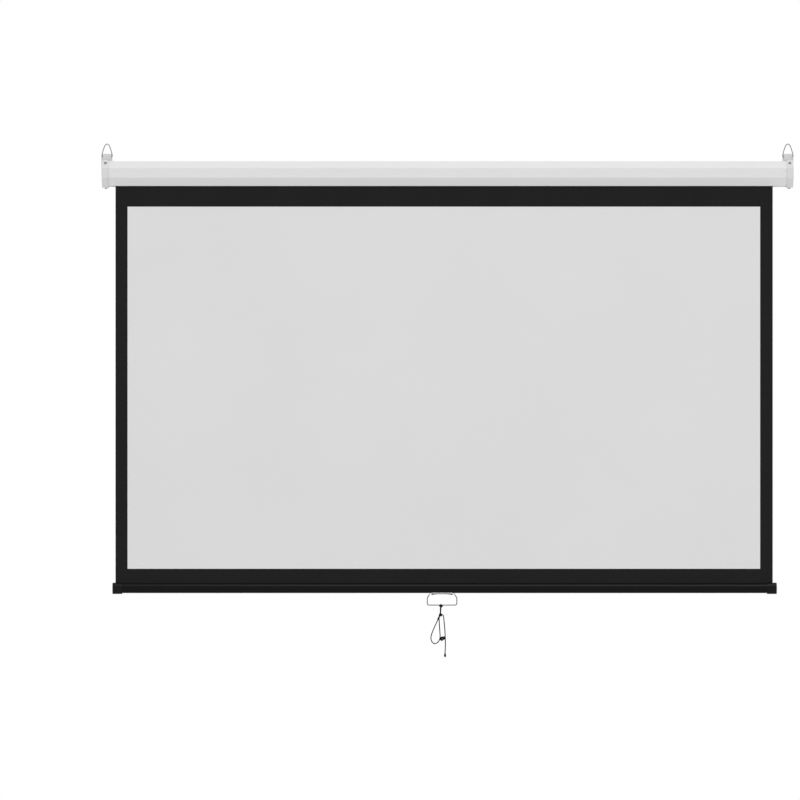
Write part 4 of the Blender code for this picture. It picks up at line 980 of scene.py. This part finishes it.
def make_hanging_loop(side, tree, material):
    """A loop whose two ends are bent in to meet the bore of the cap's ear."""
    low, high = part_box(f"hanging_loop_{side}")
    middle = (low + high) / 2
    axis = Vector((middle.x, middle.y, low.z + LOOP_WIRE_RADIUS))
    outline = [*LOOP_OUTLINE, *[(-x, z) for x, z in LOOP_OUTLINE[-2::-1]]]
    points = smooth_curve([axis + Vector((x, 0, z)) * MM for x, z in outline], LOOP_POINTS)
    draw_wire(f"hanging_loop_{side}", points, LOOP_WIRE_RADIUS, tree, material)


def rounded_corner(before, corner, after, radius):
    """Points on the arc that rounds a corner, from the side before it to the side after it."""
    back = (before - corner).normalized()
    ahead = (after - corner).normalized()
    half = back.angle(ahead) / 2
    middle = corner + (back + ahead).normalized() * (radius / math.sin(half))
    first = corner + back * (radius / math.tan(half)) - middle
    last = corner + ahead * (radius / math.tan(half)) - middle
    shares = [i / HANDLE_CORNER_STEPS for i in range(HANDLE_CORNER_STEPS + 1)]
    return [middle + first.slerp(last, share).normalized() * radius for share in shares]


def make_pull_handle(tree, material):
    """The wire handle: short top in its bracket, sloping shoulders, rounded lower corners."""
    low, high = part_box("pull_handle")
    middle = (low + high) / 2
    axis = Vector((middle.x, middle.y, high.z - HANDLE_WIRE_RADIUS))
    corners = [*HANDLE_CORNERS, *[(-x, z, radius) for x, z, radius in HANDLE_CORNERS[::-1]]]
    places = [Vector((x, 0, z)) * MM for x, z, radius in corners]
    points = []
    for i, (x, z, radius) in enumerate(corners):
        after = places[(i + 1) % len(places)]
        points += rounded_corner(places[i - 1], places[i], after, radius * MM)
    points = [axis + point for point in points]
    draw_wire("pull_handle", points, HANDLE_WIRE_RADIUS, tree, material, closed=True)


# Screws and spring


def screw_blank():
    """A pan-head screw along +Z with its seat at the origin, before its recess is cut."""
    bm = bmesh.new()
    top = GAP + SCREW_HEAD_HEIGHT
    flank = GAP + HEAD_FLANK * SCREW_HEAD_HEIGHT
    profile = [
        (0, -SCREW_LENGTH),
        (SCREW_SHANK_RADIUS, SCREW_POINT - SCREW_LENGTH),
        (SCREW_SHANK_RADIUS, GAP),
        (SCREW_HEAD_RADIUS - HEAD_BEVEL, GAP),
        (SCREW_HEAD_RADIUS, GAP + HEAD_BEVEL),
    ]
    for step in range(CROWN_STEPS + 1):
        angle = math.radians(90 * step / CROWN_STEPS)
        radius = SCREW_HEAD_RADIUS * (1 - HEAD_CROWN + HEAD_CROWN * math.cos(angle))
        profile.append((radius, flank + (top - flank) * math.sin(angle)))
    profile.append((0, top))
    spine = [bm.verts.new((radius, 0, z)) for radius, z in profile]
    edges = [bm.edges.new(pair) for pair in zip(spine, spine[1:])]
    turn = {"cent": (0, 0, 0), "axis": (0, 0, 1), "angle": 2 * math.pi, "steps": SCREW_SIDES}
    bmesh.ops.spin(bm, geom=spine + edges, use_merge=True, **turn)
    bmesh.ops.remove_doubles(bm, verts=bm.verts, dist=MERGE_DISTANCE)
    return closed_mesh(bm, "cap_screw")


def recess_cutter():
    """The tapered cross that is sunk into a screw's head."""
    bm = bmesh.new()
    mouth = GAP + SCREW_HEAD_HEIGHT + MM
    floor = GAP + SCREW_HEAD_HEIGHT - RECESS_DEPTH
    arm, reach = RECESS_ARM / 2, RECESS_WIDTH / 2
    plan = []
    for quarter in range(4):
        turned = Matrix.Rotation(math.pi / 2 * quarter, 2)
        plan += [turned @ Vector(p) for p in ((arm, arm), (arm, reach), (-arm, reach))]
    rings = []
    for z, share in zip((floor, mouth), RECESS_TAPER):
        rings.append([bm.verts.new((p.x * share, p.y * share, z)) for p in plan])
    lower, upper = rings
    for i in range(len(plan)):
        j = (i + 1) % len(plan)
        bm.faces.new((lower[i], lower[j], upper[j], upper[i]))
    for ring in rings:
        bm.faces.new(ring)
    return closed_mesh(bm, "cross_recess")


def recessed_screw():
    """One screw with its recess cut, as the master that the tree repeats."""
    blank = add_piece("screw_blank", screw_blank())
    cutter = add_piece("screw_recess", recess_cutter())
    cut = blank.modifiers.new("recess", "BOOLEAN")
    cut.object = cutter
    cut.operation = "DIFFERENCE"
    graph = bpy.context.evaluated_depsgraph_get()
    mesh = bpy.data.meshes.new_from_object(blank.evaluated_get(graph), depsgraph=graph)
    for made in (blank, cutter):
        bpy.data.objects.remove(made)
    smooth_edges(mesh, SCREW_CORNER)
    return add_piece("screw_master", mesh)


def screw_tree():
    """Sets a screw on each seat, along the seat's direction, and winds a thread on its shank."""
    sizes = {"Screw": "Object", "Shank Radius": "Float", "Thread Pitch": "Float"}
    tree, given, output = start_tree("set_screws", {**sizes, "Thread Length": "Float"})
    body = add_node(tree, "GeometryNodeObjectInfo", {"Object": given["Screw"]}).outputs["Geometry"]
    length, pitch = given["Thread Length"], given["Thread Pitch"]
    turns = add_node(tree, "ShaderNodeMath", {0: length, 1: pitch}, operation="DIVIDE").outputs[0]
    tooth_inputs = {0: pitch, 1: THREAD_TOOTH}
    tooth = add_node(tree, "ShaderNodeMath", tooth_inputs, operation="MULTIPLY").outputs[0]
    thread = wind_round(tree, given["Shank Radius"], turns, length, tooth, THREAD_SIDES)
    below = add_node(tree, "ShaderNodeMath", {0: length, 1: -1.0}, operation="MULTIPLY").outputs[0]
    shift = add_node(tree, "ShaderNodeCombineXYZ", {"Z": below}).outputs["Vector"]
    lowered = {"Geometry": thread, "Translation": shift}
    thread = add_node(tree, "GeometryNodeTransform", lowered).outputs["Geometry"]
    whole = add_node(tree, "GeometryNodeJoinGeometry", {"Geometry": [body, thread]})
    name = {"Name": "outward"}
    outward = add_node(tree, "GeometryNodeInputNamedAttribute", name, data_type="FLOAT_VECTOR")
    aim = {"Vector": outward.outputs["Attribute"]}
    turned = add_node(tree, "FunctionNodeAlignRotationToVector", aim, axis="Z").outputs["Rotation"]
    seats = {"Points": given["Geometry"], "Instance": whole.outputs["Geometry"], "Rotation": turned}
    placed = add_node(tree, "GeometryNodeInstanceOnPoints", seats).outputs["Instances"]
    return end_tree(tree, placed, given, output)


def screw_seat(node, outward):
    """The seat of a CAD screw, found from the tip of its shank."""
    tip = min((v.co.copy() for v in frame["nodes"][node].data.vertices), key=outward.dot)
    return tip + outward * SCREW_LENGTH


def make_screws(material):
    """All four cap screws, as one piece on the casing."""
    chamfer = Vector((0, -CHAMFER_RISE, CHAMFER_DEPTH)).normalized()
    ways = {"top": chamfer, "bottom": Vector((0, 0, -1))}
    nodes = [(f"cap_screw_{end}_{side}", ways[end]) for end in ways for side in ("left", "right")]
    mesh = bpy.data.meshes.new("screw_seats")
    mesh.from_pydata([screw_seat(*row) for row in nodes], [], [])
    attribute = mesh.attributes.new("outward", "FLOAT_VECTOR", "POINT")
    for entry, (node, outward) in zip(attribute.data, nodes):
        entry.vector = outward
    source = add_piece("screw_seats", mesh)
    master = recessed_screw()
    values = {"Screw": master, "Shank Radius": SCREW_SHANK_RADIUS, "Thread Pitch": THREAD_PITCH}
    values |= {"Thread Length": THREAD_LENGTH, "Material": material}
    screws = grow("cap_screws_recessed", source, screw_tree(), values)
    bpy.data.objects.remove(master)
    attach(screws, "casing")
    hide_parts(*[node for node, outward in nodes])


def spring_tree():
    """A close-wound helix of round wire about +Z."""
    sizes = {"Coils": "Float", "Coil Radius": "Float", "Wire Radius": "Float", "Length": "Float"}
    tree, given, output = start_tree("wind_spring", sizes)
    coil = [given[label] for label in ("Coil Radius", "Coils", "Length", "Wire Radius")]
    wire = wind_round(tree, *coil, SPRING_WIRE_SIDES)
    return end_tree(tree, wire, given, output)


def make_spring(material):
    """The torsion spring with as many coils as the real one has."""
    low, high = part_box("torsion_spring")
    length = high.x - low.x - 2 * SPRING_WIRE_RADIUS
    source = add_piece("spring_start", bpy.data.meshes.new("spring_start"))
    values = {"Coils": SPRING_COILS, "Coil Radius": SPRING_RADIUS, "Length": length}
    values |= {"Wire Radius": SPRING_WIRE_RADIUS, "Material": material}
    spring = grow("torsion_spring_wound", source, spring_tree(), values)
    middle = (low + high) / 2
    place = Matrix.Translation((low.x + SPRING_WIRE_RADIUS, middle.y, middle.z))
    spring.data.transform(place @ Matrix.Rotation(math.pi / 2, 4, "Y"))
    smooth_edges(spring.data, ROUND_CORNER)
    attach(spring, "casing")
    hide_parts("torsion_spring")


# The scene

make_camera()
make_world()
make_key_light()
make_floor()

white_coat = powder_coat()
white_plastic = moulded_abs()
wire_shape = wire_tree()
loop_metal = plated_wire("nickel_plated_wire", "#808182", "#939494")
handle_metal = plated_wire("nickel_wire_painted_highlight", "#656667", "#777878", painted_highlight=True)
zinc = zinc_plate()
aluminium = mill_aluminium()
nylon = natural_nylon()
backing_cloth = black_backing()
bar_metal = black_anodised()
black_plastic = black_moulded()
strip_metal = black_coated_steel()

make_cord(braid_tree(), braided_polyester(), black_plastic)

# A last number is the angle past which that solid's corners stay crisp.
finish_node("casing_shell", white_coat, 26)
for side in ("left", "right"):
    finish_node(f"end_cap_{side}", white_plastic, 32)
    make_hanging_loop(side, wire_shape, loop_metal)
    finish_node(f"roller_plug_{side}", nylon)
    finish_node(f"bar_cap_{side}", black_plastic, 35)
    finish_node(f"bracket_rivet_{side}", strip_metal, 40)
for node in ("idler_bush", "spring_collar"):
    finish_node(node, nylon)
for node in ("arbor_shaft", "ratchet_wheel", "idler_pin", "lock_pawl", "hem_rod"):
    finish_node(node, zinc)
finish_node("roller_tube", aluminium)
finish_node("weight_bar", bar_metal)
finish_node("handle_bracket", strip_metal, 35)
make_pull_handle(wire_shape, handle_metal)
windings = finish_node("fabric_wrap", backing_cloth)
hem = finish_node("fabric_hem", backing_cloth)
make_screws(zinc)
make_spring(oiled_spring_wire())

sheet, cut_size = make_sheet(matt_white_coating(), black_border_ink(), backing_cloth)

bpy.context.scene.view_settings.view_transform = "Standard"
